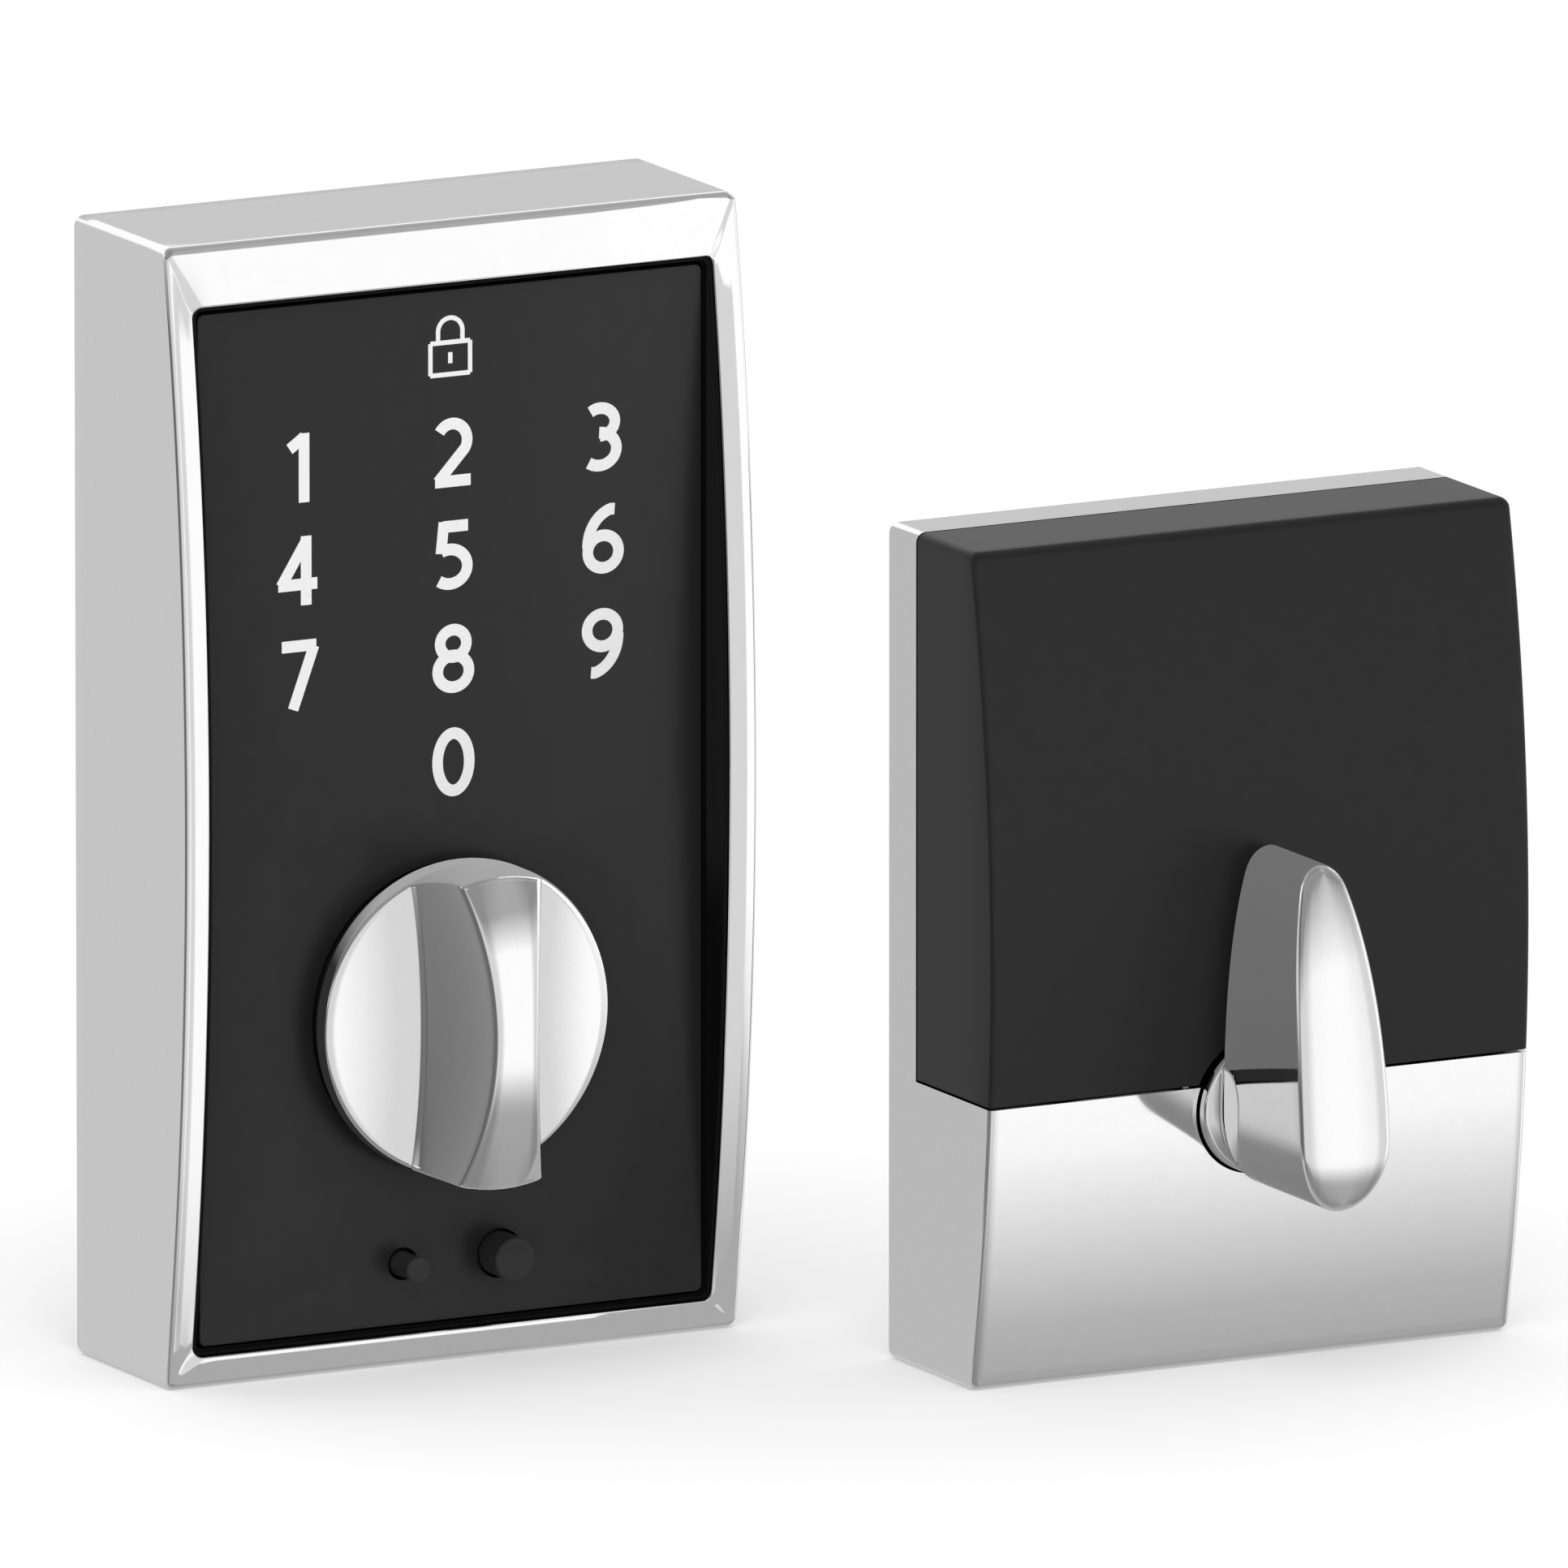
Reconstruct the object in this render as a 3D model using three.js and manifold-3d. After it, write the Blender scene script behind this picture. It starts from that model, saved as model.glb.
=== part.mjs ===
// Keypad smart lock: the outside keypad unit and the inside thumb-turn unit of one keyless deadbolt,
// standing side by side. Millimetres, +Z up. Each unit is built in its own frame: x from its centre
// line, y from its door face (the front is -y) and z from its bottom edge.
import * as THREE from "three";
import { mergeVertices } from "three/addons/utils/BufferGeometryUtils.js";
import Module from "manifold-3d";

const wasm = await Module();
wasm.setup();

// ---- Driving dimensions -------------------------------------------------------------------

const CLEAR = 0.3; // running gap, and the gap round a piece that sits in a hole
const SEGMENTS = 24; // round a full turn

const OUTSIDE = { width: 75, height: 135.6, depth: 23.2, crown: 5.3, corner: 2, wall: 2.2 };
const INSIDE = { width: 71.2, height: 99.6, depth: 20.4, crown: 5.2, corner: 2, wall: 2 };
const PAIR = { between: 7.8, setback: 46.5 }; // sideways gap, and how far the inside unit stands forward

const BEZEL = { side: 3.4, bottom: 3.7, top: 7.2, corner: 1.2 };
const SCREEN = { recess: 0.3, thickness: 2, corner: 0.8 };
const GASKET = { lip: 0.5, ledge: 3.3, behind: 1.4, flange: 0.8, overlap: 0.9 };
const BOARD = { thickness: 1.6 };
const GUIDE = { thickness: 1.4 };

const KNOB = { z: 41.4, radius: 18.7, faceProud: 4.5, rim: 3, barProud: 16.8, endProud: 13, hub: 9 };
const BAR = { waistBase: 6.4, endBase: 7.6, waistFront: 2.9, endFront: 5.3 }; // half widths
const COLLAR = { inset: 0.9, flange: 5.1, sleeveWall: 2.7, sleeve: 5.4 }; // its front hides behind the knob
const CONTACT = { z: 12, spacing: 12.7, smallRadius: 1.6, largeRadius: 2.6, proud: 3.8, tail: 5.5 };
const BLOCK = { halfWidth: 11, low: 7.6, high: 16.8, thickness: 4.5 };

const CHASSIS = { thickness: 2, seal: 1.5 };
const BOSS = { radius: 25, wall: 2.5, reach: 12 }; // centres in the door's 54 mm bore
const POST = { spacing: 38, radius: 4.2, reach: 20, thread: 2, threadDepth: 12 };
const OUTLET = { below: 15.9, radius: 4.6, clear: 3.2, flange: 5.8, lip: 0.8 };
const SCREW = { inset: 5.9, fromEnd: 7, shank: 1.25, head: 2.6, headDepth: 1.4, length: 10, boss: 2.8 };
const RECESS = { half: 1.5, arm: 0.35, depth: 0.8 }; // of a screw's cross
const FRAME = { thickness: 2, halfWidth: 30, low: 18, postRadius: 3, postInset: 4 };

const SPINDLE = { radius: 3, clip: 4.8, clipThickness: 0.7 };
const DOG = { inner: 7.7, outer: 9.5, height: 1.5, halfAngle: 14, count: 4 };
const DRIVER = { thickness: 2 };
const RING = { thickness: 3.3, groove: 1.2, grooveRadius: 8, inset: 1.1, tipGap: 0.6 };
const DRIVE = { journal: 7, flange: 9.5, flangeThickness: 1.7, square: 5, clip: 9, clipThickness: 1 };
const TAIL = { width: 5.6, thickness: 2.2, reach: 58 };
const FORK = { thickness: 0.7, inner: 8.3, outer: 11.5, plateHalf: 5.5, lugX: 12.5, lugRadius: 3 };
const CAM = { offset: 0.9, radius: 2.2, above: 15.3, height: 2.1, shaft: 1.2, bracket: 1.5 };
const MOTOR = { radius: 5, length: 15, strap: 1 };
const PIN = { radius: 1, rise: 10.6 };

const COVER = { split: 34.3, band: 6.7, notchGap: 0.6 };
const TURN = { z: 31.5, back: 6.5, front: 26.4, low: 22.6, high: 62.9, halfWidth: 5.9 };
const TURN_COLLAR = { radius: 8, rear: 18.6, bore: 4.2 };
const TURN_SPINDLE = { radius: 3.9, rear: 3.5, slotDepth: 11.5, bury: 9 };
const TURN_CLIP = { radius: 6, thickness: 0.7, washer: 0.4 };
const PLATE = { thickness: 2, hole: 12, throughBolt: 3.2 };
const CELL = { radius: 7.25, length: 50.5, nub: 1.4, nubRadius: 2.7, count: 4, pitch: 14.9 };
const TRAY = { floor: 1.2, wall: 1.2, end: 0.8, bottom: 36, depth: 12 };
const TERMINAL = { thickness: 0.4, play: 0.35, low: 38, high: 95, front: 16, back: 4 };
const LUG = { z: 45, fromSide: 4.4, thickness: 2, half: 3.2, head: 2.1, headHeight: 1.6, length: 3.6 };
const INNER_BOARD = { low: 4, high: 24, halfWidth: 30, back: 7.4, rim: 1.5 };
const SOUNDER = { x: -18, z: 14, radius: 6, height: 5 };
const SOCKET = { width: 10, depth: 5, height: 6 };
const OUTSIDE_SOCKET = { x: -17, z: 86 }; // the lower left corner of each piece on a board
const INSIDE_SOCKET = { x: 12, z: 9 };
const CHIP = { x: 8, z: 88, side: 8, height: 1 };

// ---- Colours and finishes -----------------------------------------------------------------

const finish = (color, roughness, metalness) =>
  new THREE.MeshStandardMaterial({ color, roughness, metalness });
const CHROME = finish(0xdcdcde, 0.12, 1);
const STEEL = finish(0xa8a8ac, 0.35, 1);
const BRASS = finish(0xc8a860, 0.3, 1);
const SCREEN_BLACK = finish(0x353535, 0.25, 0);
const BLACK_PLASTIC = finish(0x2c2c2c, 0.5, 0);
const RUBBER = finish(0x161616, 0.8, 0);
const WHITE_PLASTIC = finish(0xe8e8e4, 0.5, 0);
const CIRCUIT = finish(0x1f5a3a, 0.5, 0);
const CELL_SKIN = finish(0x3a4a66, 0.35, 0);

// ---- Solids -------------------------------------------------------------------------------

// A closed geometry as a manifold-3d solid, facing out.
function solid(geometry) {
  const loose = geometry.index ? geometry.toNonIndexed() : geometry;
  const bare = new THREE.BufferGeometry().setAttribute("position", loose.getAttribute("position"));
  const merged = mergeVertices(bare, 1e-4);
  const corners = merged.index.array;
  const kept = [];
  for (let i = 0; i < corners.length; i += 3) {
    const [a, b, c] = [corners[i], corners[i + 1], corners[i + 2]];
    if (a !== b && b !== c && c !== a) kept.push(a, b, c);
  }
  const build = (triangles) =>
    new wasm.Manifold(
      new wasm.Mesh({
        numProp: 3,
        vertProperties: merged.attributes.position.array,
        triVerts: new Uint32Array(triangles),
      }),
    );
  const made = build(kept);
  return made.volume() < 0 ? build(kept.toReversed()) : made;
}

const together = (...solids) => solids.reduce((a, b) => a.add(b));
const cut = (body, ...tools) => tools.reduce((a, b) => a.subtract(b), body);

function box([x0, x1], [y0, y1], [z0, z1]) {
  const geometry = new THREE.BoxGeometry(x1 - x0, y1 - y0, z1 - z0);
  return solid(geometry.translate((x0 + x1) / 2, (y0 + y1) / 2, (z0 + z1) / 2));
}

// An outline drawn in x and z, thickened from y0 to y1.
function plate(shape, y0, y1, curveSegments = 4) {
  const geometry = new THREE.ExtrudeGeometry(shape, { depth: y1 - y0, bevelEnabled: false, curveSegments });
  return solid(geometry.rotateX(Math.PI / 2).translate(0, y1, 0));
}

// An outline drawn in y and z, swept from x0 to x1.
function sweepAcross(shape, x0, x1) {
  const geometry = new THREE.ExtrudeGeometry(shape, { depth: x1 - x0, bevelEnabled: false });
  const axes = new THREE.Matrix4().set(0, 0, 1, x0, 1, 0, 0, 0, 0, 1, 0, 0, 0, 0, 0, 1);
  return solid(geometry.applyMatrix4(axes));
}

// A closed profile of (radius, along) points turned about an axis through x and z along y.
function turned(profile, x = 0, z = 0, segments = SEGMENTS) {
  const points = profile.map(([r, along]) => new THREE.Vector2(r, along));
  return solid(new THREE.LatheGeometry([...points, points[0]], segments).translate(x, 0, z));
}

const disc = (r, y0, y1, x = 0, z = 0, segments = SEGMENTS) =>
  turned([[0, y0], [r, y0], [r, y1], [0, y1]], x, z, segments);
const tube = (inner, outer, y0, y1, x = 0, z = 0, segments = SEGMENTS) =>
  turned([[inner, y0], [outer, y0], [outer, y1], [inner, y1]], x, z, segments);

// A disc whose axis stands upright at x and y.
function upright(r, z0, z1, x, y, segments = SEGMENTS) {
  const points = [[0, z0], [r, z0], [r, z1], [0, z1], [0, z0]].map(([a, b]) => new THREE.Vector2(a, b));
  return solid(new THREE.LatheGeometry(points, segments).rotateX(Math.PI / 2).translate(x, y, 0));
}

function roundedRectangle(x0, x1, z0, z1, r) {
  const shape = new THREE.Shape();
  shape.moveTo(x0 + r, z0).lineTo(x1 - r, z0).absarc(x1 - r, z0 + r, r, -Math.PI / 2, 0);
  shape.lineTo(x1, z1 - r).absarc(x1 - r, z1 - r, r, 0, Math.PI / 2);
  shape.lineTo(x0 + r, z1).absarc(x0 + r, z1 - r, r, Math.PI / 2, Math.PI);
  shape.lineTo(x0, z0 + r).absarc(x0 + r, z0 + r, r, Math.PI, 1.5 * Math.PI);
  return shape;
}

// Rings of equally many points, joined in order and closed at both ends by flat caps.
function lofted(rings) {
  const position = [];
  const triangle = (...points) => points.forEach((p) => position.push(...p));
  const count = rings[0].length;
  for (let s = 0; s + 1 < rings.length; s++)
    for (let i = 0; i < count; i++) {
      const next = (i + 1) % count;
      const [a, b, c, d] = [rings[s][i], rings[s][next], rings[s + 1][next], rings[s + 1][i]];
      triangle(a, b, c);
      triangle(a, c, d);
    }
  const last = rings[rings.length - 1];
  for (let i = 1; i + 1 < count; i++) {
    triangle(rings[0][0], rings[0][i + 1], rings[0][i]);
    triangle(last[0], last[i], last[i + 1]);
  }
  const geometry = new THREE.BufferGeometry();
  return solid(geometry.setAttribute("position", new THREE.Float32BufferAttribute(position, 3)));
}

function named(name, body, material) {
  const { vertProperties, triVerts } = body.getMesh();
  const geometry = new THREE.BufferGeometry();
  geometry.setAttribute("position", new THREE.BufferAttribute(new Float32Array(vertProperties), 3));
  geometry.setIndex(new THREE.BufferAttribute(new Uint32Array(triVerts), 1));
  const flat = geometry.toNonIndexed();
  flat.computeVertexNormals();
  const mesh = new THREE.Mesh(flat, material);
  mesh.name = name;
  return mesh;
}

// ---- Casings ------------------------------------------------------------------------------

// The front of a unit is an arc seen from the side: depth at its ends, depth + crown half way up.
function front(unit, z) {
  const half = unit.height / 2;
  const radius = (half ** 2 + unit.crown ** 2) / (2 * unit.crown);
  return -(unit.depth + Math.sqrt(radius ** 2 - (z - half) ** 2) - (radius - unit.crown));
}

// A unit's outline, drawn smaller by inset.
const outline = (unit, inset) =>
  roundedRectangle(
    -unit.width / 2 + inset,
    unit.width / 2 - inset,
    inset,
    unit.height - inset,
    Math.max(unit.corner - inset, 0.4),
  );

// The space inside a unit's outer faces moved in by inset, open to the door.
function crowned(unit, inset) {
  const steps = 16;
  const side = [new THREE.Vector2(0, 0)];
  for (let i = 0; i <= steps; i++) {
    const z = (unit.height * i) / steps;
    side.push(new THREE.Vector2(front(unit, z) + inset, z));
  }
  side.push(new THREE.Vector2(0, unit.height));
  const across = sweepAcross(new THREE.Shape(side), -unit.width, unit.width);
  return plate(outline(unit, inset), -(unit.depth + unit.crown), 0).intersect(across);
}

// ---- Outside unit -------------------------------------------------------------------------

const screenFront = -(OUTSIDE.depth - SCREEN.recess);
const screenBack = screenFront + SCREEN.thickness;
const lipBack = screenBack + GASKET.behind;
const knobFace = -(OUTSIDE.depth + KNOB.faceProud);
const knobBack = knobFace + KNOB.rim;
const collarFront = knobBack + CLEAR;
const collarOuter = KNOB.radius - COLLAR.inset;
const collarFlange = collarOuter + COLLAR.flange;
const sleeveOuter = KNOB.hub + CLEAR + COLLAR.sleeveWall;
const sleeveEnd = lipBack + COLLAR.sleeve - GASKET.behind;
const frameBack = lipBack + FRAME.thickness;
const chassisBack = -CHASSIS.seal;
const chassisFront = chassisBack - CHASSIS.thickness;
const boardLow = KNOB.z + collarFlange + 0.6;
const screwX = OUTSIDE.width / 2 - SCREW.inset;
const screwZs = [SCREW.fromEnd, OUTSIDE.height - SCREW.fromEnd];

// The bezel's window, drawn larger by outset.
const windowShape = (outset, corner) =>
  roundedRectangle(
    -OUTSIDE.width / 2 + BEZEL.side - outset,
    OUTSIDE.width / 2 - BEZEL.side + outset,
    BEZEL.bottom - outset,
    OUTSIDE.height - BEZEL.top + outset,
    corner,
  );

function outsideHousing() {
  const shell = cut(
    crowned(OUTSIDE, 0),
    plate(outline(OUTSIDE, OUTSIDE.wall), lipBack, 1),
    plate(windowShape(0, BEZEL.corner), -2 * OUTSIDE.depth, 0),
  );
  const bosses = [];
  const pilots = [];
  const [bossFront, innerSide] = [lipBack + 2, OUTSIDE.width / 2 - OUTSIDE.wall];
  for (const side of [-1, 1])
    for (const z of screwZs) {
      const reach = [side * screwX, side * (innerSide + 0.5)].sort((a, b) => a - b);
      bosses.push(disc(SCREW.boss, bossFront, chassisFront, side * screwX, z, 16));
      bosses.push(box(reach, [bossFront, chassisFront], [z - 1.5, z + 1.5]));
      pilots.push(disc(SCREW.shank + CLEAR, chassisFront - SCREW.length, 0, side * screwX, z, 12));
    }
  return cut(together(shell, ...bosses), ...pilots);
}

function screenGasket() {
  const inner = plate(windowShape(-GASKET.ledge - CLEAR, 0.6), -OUTSIDE.depth, 0);
  const body = together(
    plate(windowShape(-CLEAR, SCREEN.corner), screenFront + 0.4, lipBack),
    plate(windowShape(GASKET.overlap, BEZEL.corner), lipBack, lipBack + GASKET.flange),
  );
  const seat = plate(windowShape(-CLEAR - GASKET.lip, SCREEN.corner), -OUTSIDE.depth, screenBack);
  return cut(body, inner, seat);
}

const contactPlaces = [
  [-CONTACT.spacing / 2, CONTACT.smallRadius],
  [CONTACT.spacing / 2, CONTACT.largeRadius],
];

function touchScreen() {
  const panel = plate(windowShape(-2 * CLEAR - GASKET.lip, SCREEN.corner), screenFront, screenBack);
  const holes = contactPlaces.map(([x, r]) => disc(r + CLEAR, -50, 0, x, CONTACT.z, 20));
  return cut(panel, disc(collarOuter + CLEAR, -50, 0, 0, KNOB.z), ...holes);
}

// Behind the keys: a light guide against the screen, and the touch board against the guide.
function keyStack(y0, y1) {
  const half = OUTSIDE.width / 2 - BEZEL.side - GASKET.ledge - 2 * CLEAR;
  const top = OUTSIDE.height - BEZEL.top - GASKET.ledge - 2 * CLEAR;
  return box([-half, half], [y0, y1], [boardLow, top]);
}

function knobCollar() {
  const bore = KNOB.hub + CLEAR;
  const profile = [
    [bore, collarFront],
    [collarOuter, collarFront],
    [collarOuter, screenBack],
    [collarFlange, screenBack],
    [collarFlange, lipBack],
    [sleeveOuter, lipBack],
    [sleeveOuter, sleeveEnd],
    [bore, sleeveEnd],
  ];
  return turned(profile, 0, KNOB.z);
}

const contact = ([x, r]) =>
  turned(
    [[0, -(OUTSIDE.depth + CONTACT.proud)], [r, -(OUTSIDE.depth + CONTACT.proud)], [r, screenBack + 1],
     [r + 1, screenBack + 1], [r + 1, screenBack + 2], [r, screenBack + 2],
     [r, screenBack + CONTACT.tail], [0, screenBack + CONTACT.tail]],
    x, CONTACT.z, 20,
  );

function contactBlock() {
  const body = box(
    [-BLOCK.halfWidth, BLOCK.halfWidth],
    [screenBack, screenBack + BLOCK.thickness],
    [BLOCK.low, BLOCK.high],
  );
  const pockets = contactPlaces.flatMap(([x, r]) => [
    disc(r + CLEAR, -50, 0, x, CONTACT.z, 20),
    disc(r + 1 + CLEAR, screenBack + 1 - CLEAR, screenBack + 2 + CLEAR, x, CONTACT.z, 20),
  ]);
  return cut(body, ...pockets);
}

// The knob: a disc with a hub behind it and a bar across its face, waisted at the middle.
function outsideKnob() {
  const stations = 10;
  const rings = [];
  for (let i = 0; i <= stations; i++) {
    const along = (2 * i) / stations - 1;
    const mix = (middle, end) => middle + (end - middle) * along ** 2;
    const [base, tip] = [mix(BAR.waistBase, BAR.endBase), mix(BAR.waistFront, BAR.endFront)];
    const face = -(OUTSIDE.depth + mix(KNOB.barProud, KNOB.endProud));
    const [root, z] = [knobFace + 1, KNOB.z + along * (KNOB.radius + 1)];
    rings.push([[-base, root, z], [-base, knobFace, z], [-tip, face, z], [tip, face, z],
                [base, knobFace, z], [base, root, z]]);
  }
  const bar = lofted(rings).intersect(disc(KNOB.radius, -60, 0, 0, KNOB.z, 2 * SEGMENTS));
  const body = together(
    bar,
    disc(KNOB.radius, knobFace, knobBack, 0, KNOB.z, 2 * SEGMENTS),
    disc(KNOB.hub, knobBack - 1, sleeveEnd - 0.5, 0, KNOB.z),
  );
  return cut(body, disc(SPINDLE.radius + CLEAR, spindleFront - CLEAR, 0, 0, KNOB.z, 16));
}

const driverFront = sleeveEnd + CLEAR;
const driverBack = driverFront + DRIVER.thickness;
const dogTip = driverBack + DOG.height;
const spindleFront = knobFace - 3;
const spindleEnd = dogTip + 0.9;

const knobSpindle = () => disc(SPINDLE.radius, spindleFront, spindleEnd, 0, KNOB.z, 16);

// Dogs standing on a face from y0 to y1, the first at the angle given in degrees.
function dogs(y0, y1, first) {
  const made = [];
  for (let i = 0; i < DOG.count; i++) {
    const middle = THREE.MathUtils.degToRad(first + (360 / DOG.count) * i);
    const half = THREE.MathUtils.degToRad(DOG.halfAngle);
    const shape = new THREE.Shape();
    shape.absarc(0, 0, DOG.outer, middle - half, middle + half);
    shape.absarc(0, 0, DOG.inner, middle + half, middle - half, true);
    made.push(plate(shape, y0, y1, 3).translate([0, 0, KNOB.z]));
  }
  return made;
}

const knobDriver = () =>
  together(
    tube(SPINDLE.radius + CLEAR, DOG.outer, driverFront, driverBack, 0, KNOB.z),
    ...dogs(driverBack - 0.5, dogTip, 45),
  );

function spindleClip() {
  const clipFront = driverBack + 0.1;
  const clipBack = clipFront + SPINDLE.clipThickness;
  return tube(SPINDLE.radius + 0.1, SPINDLE.clip, clipFront, clipBack, 0, KNOB.z, 20);
}

// The drive hub: a square that the clutch ring slides on, a thrust flange and a journal in the chassis.
const flangeBack = chassisFront - CLEAR;
const flangeFront = flangeBack - DRIVE.flangeThickness;
const squareFront = spindleEnd + CLEAR;
const clutchTravel = 2 * CAM.offset;
const ringTip = dogTip + RING.tipGap; // of its dogs, with the clutch open
const ringFront = ringTip + DOG.height - 0.1;
const ringBack = ringFront + RING.thickness;
const grooveFront = ringFront + RING.inset;
const slot = [TAIL.width / 2 + CLEAR, TAIL.thickness / 2 + CLEAR];

function driveHub() {
  const square = box(
    [-DRIVE.square, DRIVE.square],
    [squareFront, flangeFront],
    [KNOB.z - DRIVE.square, KNOB.z + DRIVE.square],
  );
  const round = turned(
    [[0, flangeFront - 0.2], [DRIVE.flange, flangeFront - 0.2], [DRIVE.flange, flangeBack],
     [DRIVE.journal, flangeBack], [DRIVE.journal, chassisBack + CLEAR + DRIVE.clipThickness + 1],
     [0, chassisBack + CLEAR + DRIVE.clipThickness + 1]],
    0, KNOB.z,
  );
  return cut(together(square, round), tailSlot(flangeFront - 1.2));
}

const tailSlot = (from) => box([-slot[1], slot[1]], [from, 60], [KNOB.z - slot[0], KNOB.z + slot[0]]);

function hubClip() {
  const clipFront = chassisBack + CLEAR;
  return tube(DRIVE.journal + 0.1, DRIVE.clip, clipFront, clipFront + DRIVE.clipThickness, 0, KNOB.z);
}

// The tailpiece reaches through the bolt in the door, so it is thin in x and wide in z at rest.
const tailpiece = () =>
  box(
    [-TAIL.thickness / 2, TAIL.thickness / 2],
    [flangeFront - 0.8, TAIL.reach],
    [KNOB.z - TAIL.width / 2, KNOB.z + TAIL.width / 2],
  );

function clutchRing() {
  const profile = [
    [DRIVE.square, ringFront],
    [DOG.outer, ringFront],
    [DOG.outer, grooveFront],
    [RING.grooveRadius, grooveFront],
    [RING.grooveRadius, grooveFront + RING.groove],
    [DOG.outer, grooveFront + RING.groove],
    [DOG.outer, ringBack],
    [DRIVE.square, ringBack],
  ];
  const half = DRIVE.square + CLEAR;
  const body = together(turned(profile, 0, KNOB.z), ...dogs(ringTip, ringFront + 0.5, 0));
  return cut(body, box([-half, half], [-50, 0], [KNOB.z - half, KNOB.z + half]));
}

const forkFront = grooveFront + (RING.groove - FORK.thickness) / 2;
const forkBack = forkFront + FORK.thickness;
const forkTop = KNOB.z + CAM.above - (CAM.height - CAM.bracket) / 2;
const camY = forkFront - 0.95; // of the cam's shaft
const camZ = [forkTop - CAM.bracket / 2 - CAM.height / 2, forkTop - CAM.bracket / 2 + CAM.height / 2];
const camBottom = forkTop - CAM.bracket;
const pinZ = KNOB.z + PIN.rise;

// The fork holds the ring by its groove and has a slotted bracket round the cam.
function clutchFork() {
  const yoke = new THREE.Shape();
  yoke.absarc(0, KNOB.z, FORK.outer, Math.PI, 2 * Math.PI);
  yoke.lineTo(FORK.lugX + FORK.lugRadius, pinZ).lineTo(FORK.lugX, pinZ + FORK.lugRadius);
  yoke.lineTo(FORK.plateHalf, camBottom + 0.3).lineTo(-FORK.plateHalf, camBottom + 0.3);
  yoke.lineTo(-FORK.lugX, pinZ + FORK.lugRadius).lineTo(-FORK.lugX - FORK.lugRadius, pinZ);
  const opening = FORK.inner;
  const slotY = camY + CAM.offset;
  const slotHalf = [CAM.radius + CAM.offset + CLEAR, CAM.radius + 0.4];
  const bracket = box(
    [-FORK.plateHalf, FORK.plateHalf],
    [slotY - slotHalf[1] - 1.6, slotY + slotHalf[1] + 1],
    [camBottom, forkTop],
  );
  const camRoom = box(
    [-slotHalf[0], slotHalf[0]],
    [slotY - slotHalf[1], slotY + slotHalf[1]],
    [camZ[0] - CLEAR, forkTop + 1],
  );
  return cut(
    together(plate(yoke, forkFront, forkBack, 12), bracket),
    camRoom,
    disc(opening, -50, 0, 0, KNOB.z),
    box([-opening, opening], [-50, 0], [0, KNOB.z]),
    ...[-1, 1].map((side) => disc(PIN.radius + CLEAR, -50, 0, side * FORK.lugX, pinZ, 12)),
  );
}

const clutchCam = () =>
  together(
    upright(CAM.radius, camZ[0], camZ[1], 0, camY + CAM.offset, 20),
    upright(CAM.shaft, camZ[1] - 0.5, camZ[1] + 2.4, 0, camY, 12),
  );

const motorLow = camZ[1] + 0.9;

function clutchMotor() {
  const body = upright(MOTOR.radius, motorLow, motorLow + MOTOR.length, 0, camY, 20);
  return cut(body, upright(CAM.shaft + CLEAR, 0, camZ[1] + 2.7, 0, camY, 12));
}

// A strap over the motor with its feet on the chassis.
function motorClamp() {
  const inner = MOTOR.radius + 0.2;
  const outer = inner + MOTOR.strap;
  const [z0, z1] = [motorLow + 4, motorLow + 10];
  const body = together(
    upright(outer, z0, z1, 0, camY, 20),
    box([-outer, outer], [camY, chassisFront], [z0, z1]),
    box([-outer - 3, outer + 3], [chassisFront - 1, chassisFront], [z0, z1]),
  );
  return cut(body, upright(inner, 0, 100, 0, camY, 20), box([-inner, inner], [camY, 0], [0, 100]));
}

function forkPin(side) {
  const tip = grooveFront - clutchTravel - 1.2;
  return disc(PIN.radius, tip, chassisFront, side * FORK.lugX, pinZ, 12);
}

// The plate behind the collar, standing on four posts on the chassis.
function mechanismFrame() {
  const postX = FRAME.halfWidth - FRAME.postInset;
  const [low, high] = [FRAME.low, KNOB.z + collarFlange];
  const shape = roundedRectangle(-FRAME.halfWidth, FRAME.halfWidth, low, high, 3);
  const posts = [-1, 1].flatMap((side) =>
    [low + FRAME.postInset, high - FRAME.postInset].map((z) =>
      disc(FRAME.postRadius, frameBack - 0.5, chassisFront, side * postX, z, 16),
    ),
  );
  return cut(
    together(plate(shape, lipBack, frameBack), ...posts),
    disc(sleeveOuter + CLEAR, -50, 0, 0, KNOB.z),
  );
}

// The back plate: its ring centres in the door's bore, and the through bolts screw into its posts.
function outsideChassis() {
  const base = together(
    plate(outline(OUTSIDE, OUTSIDE.wall + CLEAR), chassisFront, chassisBack),
    tube(BOSS.radius - BOSS.wall, BOSS.radius, chassisBack - 0.5, BOSS.reach, 0, KNOB.z, 40),
    ...[-1, 1].map((side) =>
      disc(POST.radius, chassisBack - 0.5, POST.reach, (side * POST.spacing) / 2, KNOB.z, 20),
    ),
  );
  const screwHoles = [-1, 1].flatMap((side) =>
    screwZs.map((z) => screwShape(side * screwX, z, CLEAR, chassisBack + 0.5)),
  );
  return cut(
    base,
    disc(DRIVE.journal + CLEAR, -50, 60, 0, KNOB.z),
    disc(OUTLET.radius, -50, 60, 0, KNOB.z - OUTLET.below, 20),
    ...[-1, 1].map((side) =>
      disc(POST.thread, POST.reach - POST.threadDepth, 60, (side * POST.spacing) / 2, KNOB.z, 16),
    ),
    ...screwHoles,
  );
}

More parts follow.
